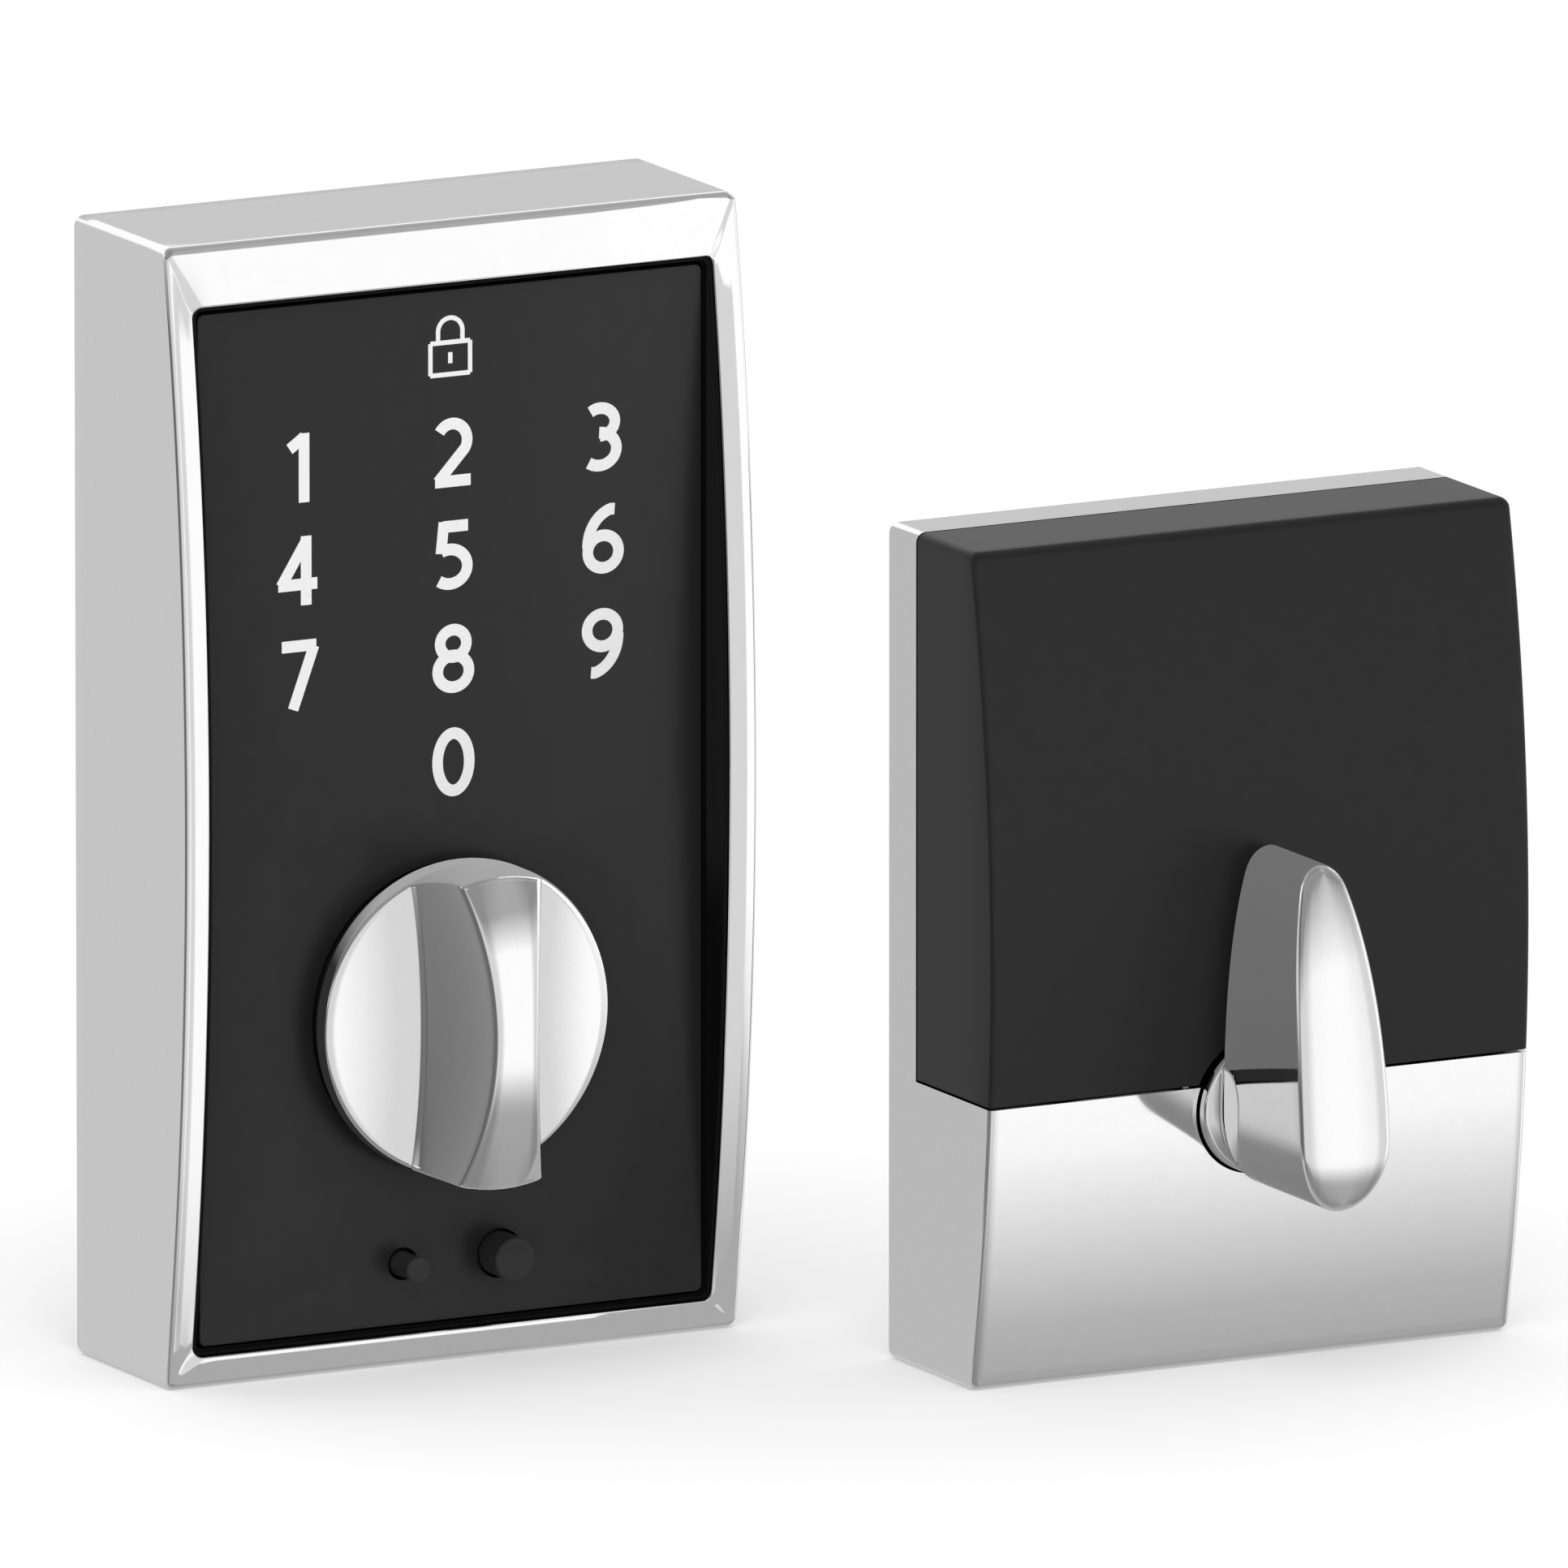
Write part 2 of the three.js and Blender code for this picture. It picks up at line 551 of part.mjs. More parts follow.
// A countersunk screw whose head is flush with the chassis plate's back.
function screwShape(x, z, more, back) {
  const [shank, head] = [SCREW.shank + more, SCREW.head + more];
  const [cone, tip] = [chassisBack - SCREW.headDepth, chassisFront - SCREW.length + 1 - more];
  const profile = [[0, tip], [shank, tip], [shank, cone], [head, chassisBack], [head, back], [0, back]];
  return turned(profile, x, z, 16);
}

// The two slots of a screw's cross, from y0 to y1.
function cross(x, z, y0, y1) {
  const { half, arm } = RECESS;
  return [
    box([x - half, x + half], [y0, y1], [z - arm, z + arm]),
    box([x - arm, x + arm], [y0, y1], [z - half, z + half]),
  ];
}

function chassisScrew(x, z) {
  const [shank, head] = [SCREW.shank, SCREW.head];
  const [cone, tip] = [chassisBack - SCREW.headDepth, chassisFront - SCREW.length + 1];
  const profile = [[0, tip], [shank, tip], [shank, cone], [head, chassisBack], [0, chassisBack]];
  return cut(turned(profile, x, z, 16), ...cross(x, z, chassisBack - RECESS.depth, 0));
}

function cableGrommet() {
  const neck = OUTLET.radius - CLEAR;
  const profile = [
    [OUTLET.clear, chassisFront - OUTLET.lip],
    [OUTLET.flange, chassisFront - OUTLET.lip],
    [OUTLET.flange, chassisFront],
    [neck, chassisFront],
    [neck, chassisBack],
    [OUTLET.flange, chassisBack],
    [OUTLET.flange, chassisBack + OUTLET.lip],
    [OUTLET.clear, chassisBack + OUTLET.lip],
  ];
  return turned(profile, 0, KNOB.z - OUTLET.below, 20);
}

function doorGasket() {
  const ring = plate(outline(OUTSIDE, OUTSIDE.wall + CLEAR), chassisBack, 0);
  return cut(ring, plate(outline(OUTSIDE, OUTSIDE.wall + 5), -10, 10));
}

// A cable's socket on a board, from y0 to y1.
const socket = ({ x, z }, y0, y1) => box([x, x + SOCKET.width], [y0, y1], [z, z + SOCKET.height]);

const touchController = (boardBack) =>
  box([CHIP.x, CHIP.x + CHIP.side], [boardBack, boardBack + CHIP.height], [CHIP.z, CHIP.z + CHIP.side]);

function outsideUnit() {
  const unit = new THREE.Group();
  const guideBack = screenBack + GUIDE.thickness;
  const boardBack = guideBack + BOARD.thickness;
  unit.add(
    named("outside_housing", outsideHousing(), CHROME),
    named("touch_screen", touchScreen(), SCREEN_BLACK),
    named("screen_gasket", screenGasket(), RUBBER),
    named("light_guide", keyStack(screenBack, guideBack), WHITE_PLASTIC),
    named("touch_board", keyStack(guideBack, boardBack), CIRCUIT),
    named("touch_controller", touchController(boardBack), BLACK_PLASTIC),
    named("cable_socket", socket(OUTSIDE_SOCKET, boardBack, boardBack + SOCKET.depth), WHITE_PLASTIC),
    named("contact_block", contactBlock(), BLACK_PLASTIC),
    named("contact_small", contact(contactPlaces[0]), BLACK_PLASTIC),
    named("contact_large", contact(contactPlaces[1]), BLACK_PLASTIC),
    named("knob_collar", knobCollar(), BLACK_PLASTIC),
    named("mechanism_frame", mechanismFrame(), STEEL),
    named("outside_knob", outsideKnob(), CHROME),
    named("knob_spindle", knobSpindle(), STEEL),
    named("knob_driver", knobDriver(), STEEL),
    named("spindle_clip", spindleClip(), STEEL),
    named("drive_hub", driveHub(), STEEL),
    named("hub_clip", hubClip(), STEEL),
    named("tailpiece", tailpiece(), STEEL),
    named("clutch_ring", clutchRing(), BRASS),
    named("clutch_fork", clutchFork(), STEEL),
    named("clutch_cam", clutchCam(), WHITE_PLASTIC),
    named("clutch_motor", clutchMotor(), STEEL),
    named("motor_clamp", motorClamp(), BLACK_PLASTIC),
    named("fork_pin_left", forkPin(-1), STEEL),
    named("fork_pin_right", forkPin(1), STEEL),
    named("outside_chassis", outsideChassis(), STEEL),
    named("cable_grommet", cableGrommet(), RUBBER),
    named("door_gasket", doorGasket(), RUBBER),
  );
  let number = 1;
  for (const side of [-1, 1])
    for (const z of screwZs)
      unit.add(named(`chassis_screw_${number++}`, chassisScrew(side * screwX, z), STEEL));
  return unit;
}

// ---- Inside unit --------------------------------------------------------------------------

const turnBack = -(INSIDE.depth + TURN.back);
const turnFront = -(INSIDE.depth + TURN.front);
const turnCollarFront = turnBack + CLEAR;
const collarRear = -TURN_COLLAR.rear;
const plateFront = -PLATE.thickness;
const lugX = INSIDE.width / 2 - LUG.fromSide;

// Lower cover and full-height rear band in one piece, open above for the battery cover.
function insideHousing() {
  const above = box([-50, 50], [-60, -COVER.band], [COVER.split, 120]);
  const hole = disc(TURN_COLLAR.radius + CLEAR, -60, 0, 0, TURN.z);
  const shell = cut(crowned(INSIDE, 0), crowned(INSIDE, INSIDE.wall), above);
  const holed = cut(shell, hole.intersect(box([-20, 20], [-60, -COVER.band - 2], [0, 60])));
  const lugs = [-1, 1].map((side) => {
    const reach = [side * (lugX - 2.3), side * (INSIDE.width / 2 - 1)].sort((a, b) => a - b);
    return box(reach, [plateFront - LUG.thickness, plateFront], [LUG.z - LUG.half, LUG.z + LUG.half]);
  });
  const pilots = [-1, 1].map((side) => disc(SCREW.shank + CLEAR, -20, 0, side * lugX, LUG.z, 12));
  return cut(together(holed, ...lugs), ...pilots);
}

function batteryCover() {
  const kept = box([-50, 50], [-60, -COVER.band - CLEAR], [COVER.split + CLEAR, 120]);
  const shell = cut(crowned(INSIDE, 0), crowned(INSIDE, INSIDE.wall)).intersect(kept);
  return cut(shell, disc(TURN_COLLAR.radius + COVER.notchGap, -60, 0, 0, TURN.z));
}

function mountingPlate() {
  const body = plate(outline(INSIDE, INSIDE.wall + CLEAR), plateFront, 0);
  return cut(
    body,
    disc(PLATE.hole, -10, 10, 0, TURN.z),
    ...[-1, 1].map((side) => disc(PLATE.throughBolt, -10, 10, (side * POST.spacing) / 2, TURN.z, 16)),
    ...[-1, 1].map((side) => disc(SCREW.shank + CLEAR, -10, 10, side * lugX, LUG.z, 12)),
  );
}

function housingScrew(side) {
  const head = plateFront - LUG.thickness;
  const profile = [
    [0, head - LUG.headHeight],
    [LUG.head, head - LUG.headHeight],
    [LUG.head, head],
    [SCREW.shank, head],
    [SCREW.shank, head + LUG.length],
    [0, head + LUG.length],
  ];
  const [x, top] = [side * lugX, head - LUG.headHeight];
  return cut(turned(profile, x, LUG.z, 16), ...cross(x, LUG.z, top - 1, top + RECESS.depth));
}

const terminalInner = CELL.length / 2 + TERMINAL.play;
const terminalOuter = terminalInner + TERMINAL.thickness;
const trayHalf = terminalOuter + CLEAR + TRAY.wall;
const trayFloor = plateFront - TRAY.floor;
const trayTop = TRAY.bottom + 2 * TRAY.end + CELL.count * CELL.pitch;

function batteryTray() {
  const outer = box([-trayHalf, trayHalf], [plateFront - TRAY.depth, plateFront], [TRAY.bottom, trayTop]);
  const inner = trayHalf - TRAY.wall;
  const pocket = box([-inner, inner], [-60, trayFloor], [TRAY.bottom + TRAY.end, trayTop - TRAY.end]);
  return cut(outer, pocket);
}

// A cell lying across the unit, with its raised end to the side given.
function cell(index) {
  const side = index % 2 ? 1 : -1;
  const [half, bevel] = [CELL.length / 2, 0.8];
  const profile = [
    [0, -half],
    [CELL.radius - bevel, -half],
    [CELL.radius, -half + bevel],
    [CELL.radius, half - CELL.nub - bevel],
    [CELL.radius - bevel, half - CELL.nub],
    [CELL.nubRadius, half - CELL.nub],
    [CELL.nubRadius, half],
    [0, half],
    [0, -half],
  ];
  const points = profile.map(([r, along]) => new THREE.Vector2(r, along));
  const geometry = new THREE.LatheGeometry(points, 16).rotateZ((-side * Math.PI) / 2);
  const z = TRAY.bottom + TRAY.end + CELL.pitch * (index + 0.5);
  return solid(geometry.translate(0, trayFloor - 0.2 - CELL.radius, z));
}

function batteryContact(side) {
  const x = [side * terminalInner, side * terminalOuter].sort((a, b) => a - b);
  return box(x, [-TERMINAL.front, -TERMINAL.back], [TERMINAL.low, TERMINAL.high]);
}

const boardFront = -(INNER_BOARD.back + BOARD.thickness);
const across = (inset, y0, y1) =>
  box(
    [-INNER_BOARD.halfWidth + inset, INNER_BOARD.halfWidth - inset],
    [y0, y1],
    [INNER_BOARD.low + inset, INNER_BOARD.high - inset],
  );

const boardCarrier = () =>
  cut(
    across(0, -INNER_BOARD.back, plateFront),
    across(INNER_BOARD.rim, -60, 0),
    disc(PLATE.hole, -60, 0, 0, TURN.z),
    ...[-1, 1].map((side) => disc(PLATE.throughBolt, -60, 0, (side * POST.spacing) / 2, TURN.z, 16)),
  );

const turnCollar = () => {
  const [r, bore] = [TURN_COLLAR.radius, TURN_COLLAR.bore];
  const flange = r + 1.6; // behind the housing's front wall
  const seat = front(INSIDE, TURN.z - flange) + INSIDE.wall + CLEAR;
  return turned(
    [[bore, turnCollarFront], [r, turnCollarFront], [r, seat], [flange, seat],
     [flange, seat + 1.2], [r, seat + 1.2], [r, collarRear], [bore, collarRear]],
    0, TURN.z,
  );
};

// The thumb turn: a teardrop from the front, thickest at its axis.
function insideTurn() {
  const { halfWidth: w, low, high, z } = TURN;
  const shape = new THREE.Shape();
  shape.moveTo(-w, z + 3);
  shape.absellipse(0, z, w, z - low, Math.PI, 2 * Math.PI, false);
  shape.lineTo(w, z + 3);
  shape.bezierCurveTo(w * 0.98, z + 15, w * 0.75, z + 23, w * 0.52, high - 3);
  shape.bezierCurveTo(w * 0.4, high - 0.7, w * 0.15, high, 0, high);
  shape.bezierCurveTo(-w * 0.15, high, -w * 0.4, high - 0.7, -w * 0.52, high - 3);
  shape.bezierCurveTo(-w * 0.75, z + 23, -w * 0.98, z + 15, -w, z + 3);
  const face = new THREE.Shape();
  face.moveTo(turnBack, low - 1).lineTo(turnFront + 2.5, low - 1);
  face.quadraticCurveTo(turnFront, low + 1.5, turnFront, z - 1.5);
  face.quadraticCurveTo(turnFront + 1.1, z + 16, turnFront + 6.6, high + 0.5);
  face.lineTo(turnBack, high + 0.5);
  const body = plate(shape, turnFront - 1, turnBack, 6).intersect(sweepAcross(face, -20, 20));
  return cut(body, disc(TURN_SPINDLE.radius + 0.1, turnBack - TURN_SPINDLE.bury - CLEAR, 0, 0, z, 24));
}

function turnSpindle() {
  const { radius, rear, slotDepth, bury } = TURN_SPINDLE;
  const body = disc(radius, turnBack - bury, -rear, 0, TURN.z, 24);
  return cut(body, box([-slot[1], slot[1]], [-rear - slotDepth, 0], [TURN.z - slot[0], TURN.z + slot[0]]));
}

const washerFront = collarRear + CLEAR;
const washerBack = washerFront + TURN_CLIP.washer;
const turnWasher = () =>
  tube(TURN_COLLAR.bore, TURN_CLIP.radius + 0.5, washerFront, washerBack, 0, TURN.z);

function turnClip() {
  const clipFront = washerBack + 0.2;
  const clipBack = clipFront + TURN_CLIP.thickness;
  return tube(TURN_SPINDLE.radius + 0.1, TURN_CLIP.radius, clipFront, clipBack, 0, TURN.z);
}

const sounder = () =>
  disc(SOUNDER.radius, boardFront - SOUNDER.height, boardFront, SOUNDER.x, SOUNDER.z, 20);

function insideUnit() {
  const unit = new THREE.Group();
  unit.add(
    named("inside_housing", insideHousing(), CHROME),
    named("battery_cover", batteryCover(), BLACK_PLASTIC),
    named("mounting_plate", mountingPlate(), STEEL),
    named("housing_screw_left", housingScrew(-1), STEEL),
    named("housing_screw_right", housingScrew(1), STEEL),
    named("battery_tray", batteryTray(), BLACK_PLASTIC),
    named("battery_contact_left", batteryContact(-1), STEEL),
    named("battery_contact_right", batteryContact(1), STEEL),
    named("board_carrier", boardCarrier(), BLACK_PLASTIC),
    named("inside_board", across(0, boardFront, -INNER_BOARD.back), CIRCUIT),
    named("sounder", sounder(), BLACK_PLASTIC),
    named("inside_socket", socket(INSIDE_SOCKET, boardFront - SOCKET.depth, boardFront), WHITE_PLASTIC),
    named("turn_collar", turnCollar(), CHROME),
    named("inside_turn", insideTurn(), CHROME),
    named("turn_spindle", turnSpindle(), STEEL),
    named("turn_washer", turnWasher(), STEEL),
    named("turn_clip", turnClip(), STEEL),
  );
  for (let i = 0; i < CELL.count; i++) unit.add(named(`battery_${i + 1}`, cell(i), CELL_SKIN));
  return unit;
}

// ---- Assembly: the origin is under the middle of the pair's box ---------------------------

const lock = new THREE.Group();
const outside = outsideUnit();
const inside = insideUnit();
const insideX = OUTSIDE.width / 2 + PAIR.between + INSIDE.width / 2;
const middleX = (-OUTSIDE.width / 2 + insideX + INSIDE.width / 2) / 2;
const middleY = (turnFront - PAIR.setback + TAIL.reach) / 2;
outside.position.set(-middleX, -middleY, 0);
inside.position.set(insideX - middleX, -PAIR.setback - middleY, 0);
lock.add(outside, inside);

export default lock;
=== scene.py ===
"""Looks of the keypad smart lock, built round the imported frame.

Each unit is shaped in its own frame in millimetres: x from its centre line, y from its door face
(the front is -y), z from its bottom edge. place() turns that into the frame's metres.
"""

import math

import bmesh
import bpy
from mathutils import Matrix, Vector


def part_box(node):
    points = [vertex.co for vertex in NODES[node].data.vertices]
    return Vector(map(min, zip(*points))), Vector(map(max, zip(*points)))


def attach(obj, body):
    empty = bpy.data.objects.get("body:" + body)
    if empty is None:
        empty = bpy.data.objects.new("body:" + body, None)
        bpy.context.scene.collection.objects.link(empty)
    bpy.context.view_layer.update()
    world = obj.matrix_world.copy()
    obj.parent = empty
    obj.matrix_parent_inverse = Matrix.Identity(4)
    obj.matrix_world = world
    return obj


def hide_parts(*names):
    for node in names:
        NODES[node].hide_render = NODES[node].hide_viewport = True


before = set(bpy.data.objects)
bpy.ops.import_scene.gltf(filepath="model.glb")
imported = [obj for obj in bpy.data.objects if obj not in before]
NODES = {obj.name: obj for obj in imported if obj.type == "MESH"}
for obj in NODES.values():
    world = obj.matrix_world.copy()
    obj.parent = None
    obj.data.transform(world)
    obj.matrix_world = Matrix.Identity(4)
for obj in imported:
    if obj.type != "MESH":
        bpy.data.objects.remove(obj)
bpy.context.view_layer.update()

MM = 0.001


# ---- Camera, floor and light ---------------------------------------------------------------

CAMERA_AZIMUTH = math.radians(-27.8)
CAMERA_ELEVATION = math.radians(11.84)
LENS = 1200.0
SENSOR = 36.0
FAR_LIMIT = 100.0
FRAME_WIDTH = 0.1826  # width of the picture at the aim point
AIM = Vector((0.0332, -0.0432, 0.0691))  # from the outside unit's middle, door face and foot


def make_camera():
    """A long lens at the photographed angle."""
    low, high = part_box("outside_housing")
    aim = Vector(((low.x + high.x) / 2, high.y, low.z)) + AIM
    level = math.cos(CAMERA_ELEVATION)
    toward = Vector(
        (
            -math.sin(CAMERA_AZIMUTH) * level,
            math.cos(CAMERA_AZIMUTH) * level,
            -math.sin(CAMERA_ELEVATION),
        )
    )
    data = bpy.data.cameras.new("camera")
    data.lens = LENS
    data.sensor_width = SENSOR
    data.clip_end = FAR_LIMIT
    camera = bpy.data.objects.new("camera", data)
    camera.location = aim - toward * (FRAME_WIDTH * LENS / SENSOR)
    camera.rotation_euler = toward.to_track_quat("-Z", "Y").to_euler()
    bpy.context.scene.collection.objects.link(camera)
    bpy.context.scene.camera = camera


make_camera()


# ---- Node helpers --------------------------------------------------------------------------

COLOUR_MIX_INPUTS, COLOUR_MIX_OUTPUT = (0, 6, 7), 2  # the sockets of a mix node set to colours
NOISE_LOW, NOISE_HIGH = 0.3, 0.7  # where nearly all of a noise's values lie
METAL_GRAIN, PLASTIC_GRAIN = 0.0001, 0.00004  # heights of the grain, in metres


class Nodes:
    """A short way to write a material's or world's node tree."""

    def __init__(self, tree):
        self.tree = tree
        tree.nodes.clear()

    def add(self, kind, settings=None, **inputs):
        node = self.tree.nodes.new(kind)
        for key, value in (settings or {}).items():
            setattr(node, key, value)
        for key, value in inputs.items():
            self.set(node, key.replace("_", " "), value)
        return node

    def set(self, node, name, value):
        """Links or sets an input, given by its name or its number."""
        names = [s.name.lower() for s in node.inputs]
        index = name if isinstance(name, int) else names.index(name.lower())
        socket = node.inputs[index]
        if isinstance(value, bpy.types.NodeSocket):
            self.tree.links.new(value, socket)
        else:
            socket.default_value = value

    def math(self, operation, *values, clamp=False):
        node = self.add("ShaderNodeMath", {"operation": operation, "use_clamp": clamp})
        for index, value in enumerate(values):
            self.set(node, index, value)
        return node.outputs[0]

    def mix(self, factor, a, b, blend="MIX"):
        """Colour a, blended with colour b by the factor."""
        node = self.add("ShaderNodeMix", {"data_type": "RGBA", "blend_type": blend})
        for index, value in zip(COLOUR_MIX_INPUTS, (factor, a, b)):
            self.set(node, index, value)
        return node.outputs[COLOUR_MIX_OUTPUT]

    def choose(self, share, plain, other):
        """The shader called other where share is 1, and plain where it is 0."""
        node = self.add("ShaderNodeMixShader", Fac=share)
        self.set(node, 1, plain)
        self.set(node, 2, other)
        return node.outputs[0]

    def seen(self):
        """1 for a ray from the camera, straight or through something clear."""
        path = self.add("ShaderNodeLightPath").outputs
        return self.math("MAXIMUM", path["Is Camera Ray"], path["Is Transmission Ray"])

    def axes(self, vector):
        return self.add("ShaderNodeSeparateXYZ", Vector=vector).outputs

    def wander(self, noise, low, high):
        """A value that goes from low to high as a noise goes through its usual range."""
        node = self.add("ShaderNodeMapRange", Value=noise, To_Min=low, To_Max=high)
        self.set(node, "from min", NOISE_LOW)
        self.set(node, "from max", NOISE_HIGH)
        return node.outputs[0]

    def shades(self, noise, colour, dark, light):
        """A colour that wanders between two shades of itself."""
        ends = [tuple(min(c * share, 1.0) for c in colour) for share in (dark, light)]
        return self.ramp(noise, list(zip((NOISE_LOW, NOISE_HIGH), ends)))

    def ramp(self, factor, stops):
        """A colour ramp through (position, grey or colour) stops."""
        node = self.add("ShaderNodeValToRGB", Fac=factor)
        points = node.color_ramp.elements
        while len(points) > len(stops):
            points.remove(points[-1])
        while len(points) < len(stops):
            points.new(1.0)
        for point, (position, value) in zip(points, stops):
            point.position = position
            colour = value if isinstance(value, (tuple, list)) else (value,) * 3
            point.color = (*colour, 1.0)
        return node.outputs["Color"]

    def noise(self, scale, detail=2.0, rough=0.5, vector=None):
        node = self.add("ShaderNodeTexNoise", Scale=scale, Detail=detail, Roughness=rough)
        if vector is not None:
            self.set(node, "vector", vector)
        return node.outputs["Fac"]

    def position(self, scale=(1, 1, 1)):
        coordinates = self.add("ShaderNodeTexCoord").outputs["Object"]
        return self.add("ShaderNodeMapping", Vector=coordinates, Scale=scale).outputs[0]

    def bump(self, height, strength, distance):
        node = self.add("ShaderNodeBump", Height=height, Strength=strength, Distance=distance)
        return node.outputs[0]


def make_material(name, build):
    material = bpy.data.materials.new(name)
    material.use_nodes = True
    nodes = Nodes(material.node_tree)
    shader = nodes.add("ShaderNodeBsdfPrincipled")
    output = nodes.add("ShaderNodeOutputMaterial")
    nodes.set(output, "surface", shader.outputs[0])
    build(nodes, shader)
    return material


def metal(name, colour, low, high, grain=(1, 1, 1), scale=300.0, bump=0.02):
    """A metal whose roughness wanders between low and high."""

    def build(nodes, shader):
        fine = nodes.noise(scale, 3.0, 0.6, nodes.position(grain))
        broad = nodes.noise(45.0)
        mixed = nodes.math("MULTIPLY_ADD", fine, 0.6, nodes.math("MULTIPLY", broad, 0.4))
        nodes.set(shader, "metallic", 1.0)
        nodes.set(shader, "roughness", nodes.wander(mixed, low, high))
        nodes.set(shader, "base color", nodes.shades(broad, colour, 0.98, 1.0))
        nodes.set(shader, "normal", nodes.bump(fine, bump, METAL_GRAIN))

    return make_material(name, build)


def plastic(name, colour, low, high, scale=900.0, bump=0.1, specular=0.5):
    """A moulded plastic with a fine spark-eroded grain."""

    def build(nodes, shader):
        fine = nodes.noise(scale * 2.0, 4.0, 0.6)
        nodes.set(shader, "base color", nodes.shades(nodes.noise(30.0), colour, 0.95, 1.05))
        nodes.set(shader, "specular ior level", specular)
        nodes.set(shader, "roughness", nodes.wander(fine, low, high))
        nodes.set(shader, "normal", nodes.bump(fine, bump, PLASTIC_GRAIN))

    return make_material(name, build)


CHROME = metal("chrome", (0.90, 0.895, 0.897), 0.05, 0.07, scale=260.0, bump=0.002)
STEEL = metal("plated_steel", (0.52, 0.52, 0.54), 0.22, 0.36, scale=700.0, bump=0.05)
ZINC = metal("cast_zinc", (0.46, 0.46, 0.48), 0.38, 0.55, scale=500.0, bump=0.25)
BRASS = metal("turned_brass", (0.62, 0.43, 0.17), 0.2, 0.34, grain=(1, 12, 1), scale=500.0, bump=0.06)
CONTACT = plastic("black_contact", (0.027, 0.027, 0.027), 0.5, 0.62, 800.0, 0.05, 0.3)
SCREEN = plastic("screen_panel", (0.0185, 0.0185, 0.019), 0.30, 0.36, 1400.0, 0.03, 0.25)
BLACK_COVER = plastic("black_cover", (0.0125, 0.0125, 0.013), 0.34, 0.42, 1100.0, 0.08, 0.3)
BLACK_TRIM = plastic("black_trim", (0.010, 0.010, 0.010), 0.4, 0.55, 1000.0, 0.12)
RUBBER = plastic("rubber", (0.004, 0.004, 0.004), 0.65, 0.85, 700.0, 0.25, 0.15)
WHITE_PLASTIC = plastic("white_plastic", (0.75, 0.75, 0.73), 0.4, 0.5, 900.0, 0.06)
CIRCUIT = plastic("circuit_board", (0.02, 0.11, 0.05), 0.3, 0.5, 300.0, 0.3)
CELL = metal("cell_foil", (0.10, 0.16, 0.30), 0.22, 0.34, scale=400.0, bump=0.03)
PRINT = plastic("white_print", (0.92, 0.92, 0.92), 0.5, 0.6, 900.0, 0.02, 0.2)


# ---- Mesh helpers --------------------------------------------------------------------------

SMOOTH_ANGLE, CURVED_ANGLE = math.radians(32), math.radians(38)
SAME_POINT, NO_LENGTH = 1e-6, 1e-7  # in metres
EDGE_WIDTH, EDGE_ANGLE = 0.2, 50  # the small round on every edge, and the least angle that gets one
MOST_OF_SIDE = 0.45  # how much of a profile's side an arc may take


def frame_of(node):
    """Where a unit's middle, door face and foot are, in metres."""
    low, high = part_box(node)
    return Vector(((low.x + high.x) / 2, high.y, low.z))


OUTSIDE_AT = frame_of("outside_housing")
INSIDE_AT = frame_of("inside_housing")


def place(origin, points):
    return [origin + Vector(p) * MM for p in points]


def make_piece(name, points, faces, material, smooth=SMOOTH_ANGLE):
    """A closed mesh in metres, its faces turned out, its doubled points joined."""
    mesh = bpy.data.meshes.new(name)
    mesh.from_pydata([tuple(p) for p in points], [], faces)
    work = bmesh.new()
    work.from_mesh(mesh)
    bmesh.ops.remove_doubles(work, verts=work.verts, dist=SAME_POINT)
    bmesh.ops.dissolve_degenerate(work, edges=work.edges, dist=NO_LENGTH)
    bmesh.ops.recalc_face_normals(work, faces=work.faces)
    work.to_mesh(mesh)
    work.free()
    mesh.materials.append(material)
    mesh.shade_smooth()
    mesh.set_sharp_from_angle(angle=smooth)
    piece = bpy.data.objects.new(name, mesh)
    bpy.context.scene.collection.objects.link(piece)
    return piece


def bridge(loops, closed=True, first=0):
    """Faces between loops of equally many points, numbered from first."""
    count = len(loops[0])
    faces = []
    for row in range(len(loops) - 1):
        for i in range(count if closed else count - 1):
            a, b = first + row * count + i, first + row * count + (i + 1) % count
            faces.append((a, b, b + count, a + count))
    return faces


def flatten(loops):
    return [p for loop in loops for p in loop]


def circle(count):
    return [2 * math.pi * i / count for i in range(count)]


def lathe(name, origin, axis_x, axis_z, profile, material, segments=96):
    """A (radius, y) profile turned about an axis along y; it starts and ends on the axis or closes."""
    loops = []
    for r, y in profile:
        loops.append([(axis_x + r * math.cos(t), y, axis_z + r * math.sin(t)) for t in circle(segments)])
    if profile[0][0] > 0:
        loops.append(loops[0])
    return make_piece(name, place(origin, flatten(loops)), bridge(loops), material)


def bezier(points, t):
    while len(points) > 1:
        points = [a.lerp(b, t) for a, b in zip(points, points[1:])]
    return points[0]


def rounded(corners, radius, steps=4):
    """A profile's points with each inner corner turned by an arc of about the radius."""
    made = [corners[0]]
    for before, corner, after in zip(corners, corners[1:], corners[2:]):
        b, c, a = Vector(before), Vector(corner), Vector(after)
        reach = min(radius, (b - c).length * MOST_OF_SIDE, (a - c).length * MOST_OF_SIDE)
        start, end = c + (b - c).normalized() * reach, c + (a - c).normalized() * reach
        made += [tuple(bezier([start, c, end], i / steps)) for i in range(steps + 1)]
    made.append(corners[-1])
    return made


def finish_piece(piece, body, slot, *replaced):
    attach(piece, body)
    if replaced:
        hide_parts(*replaced)
    return piece


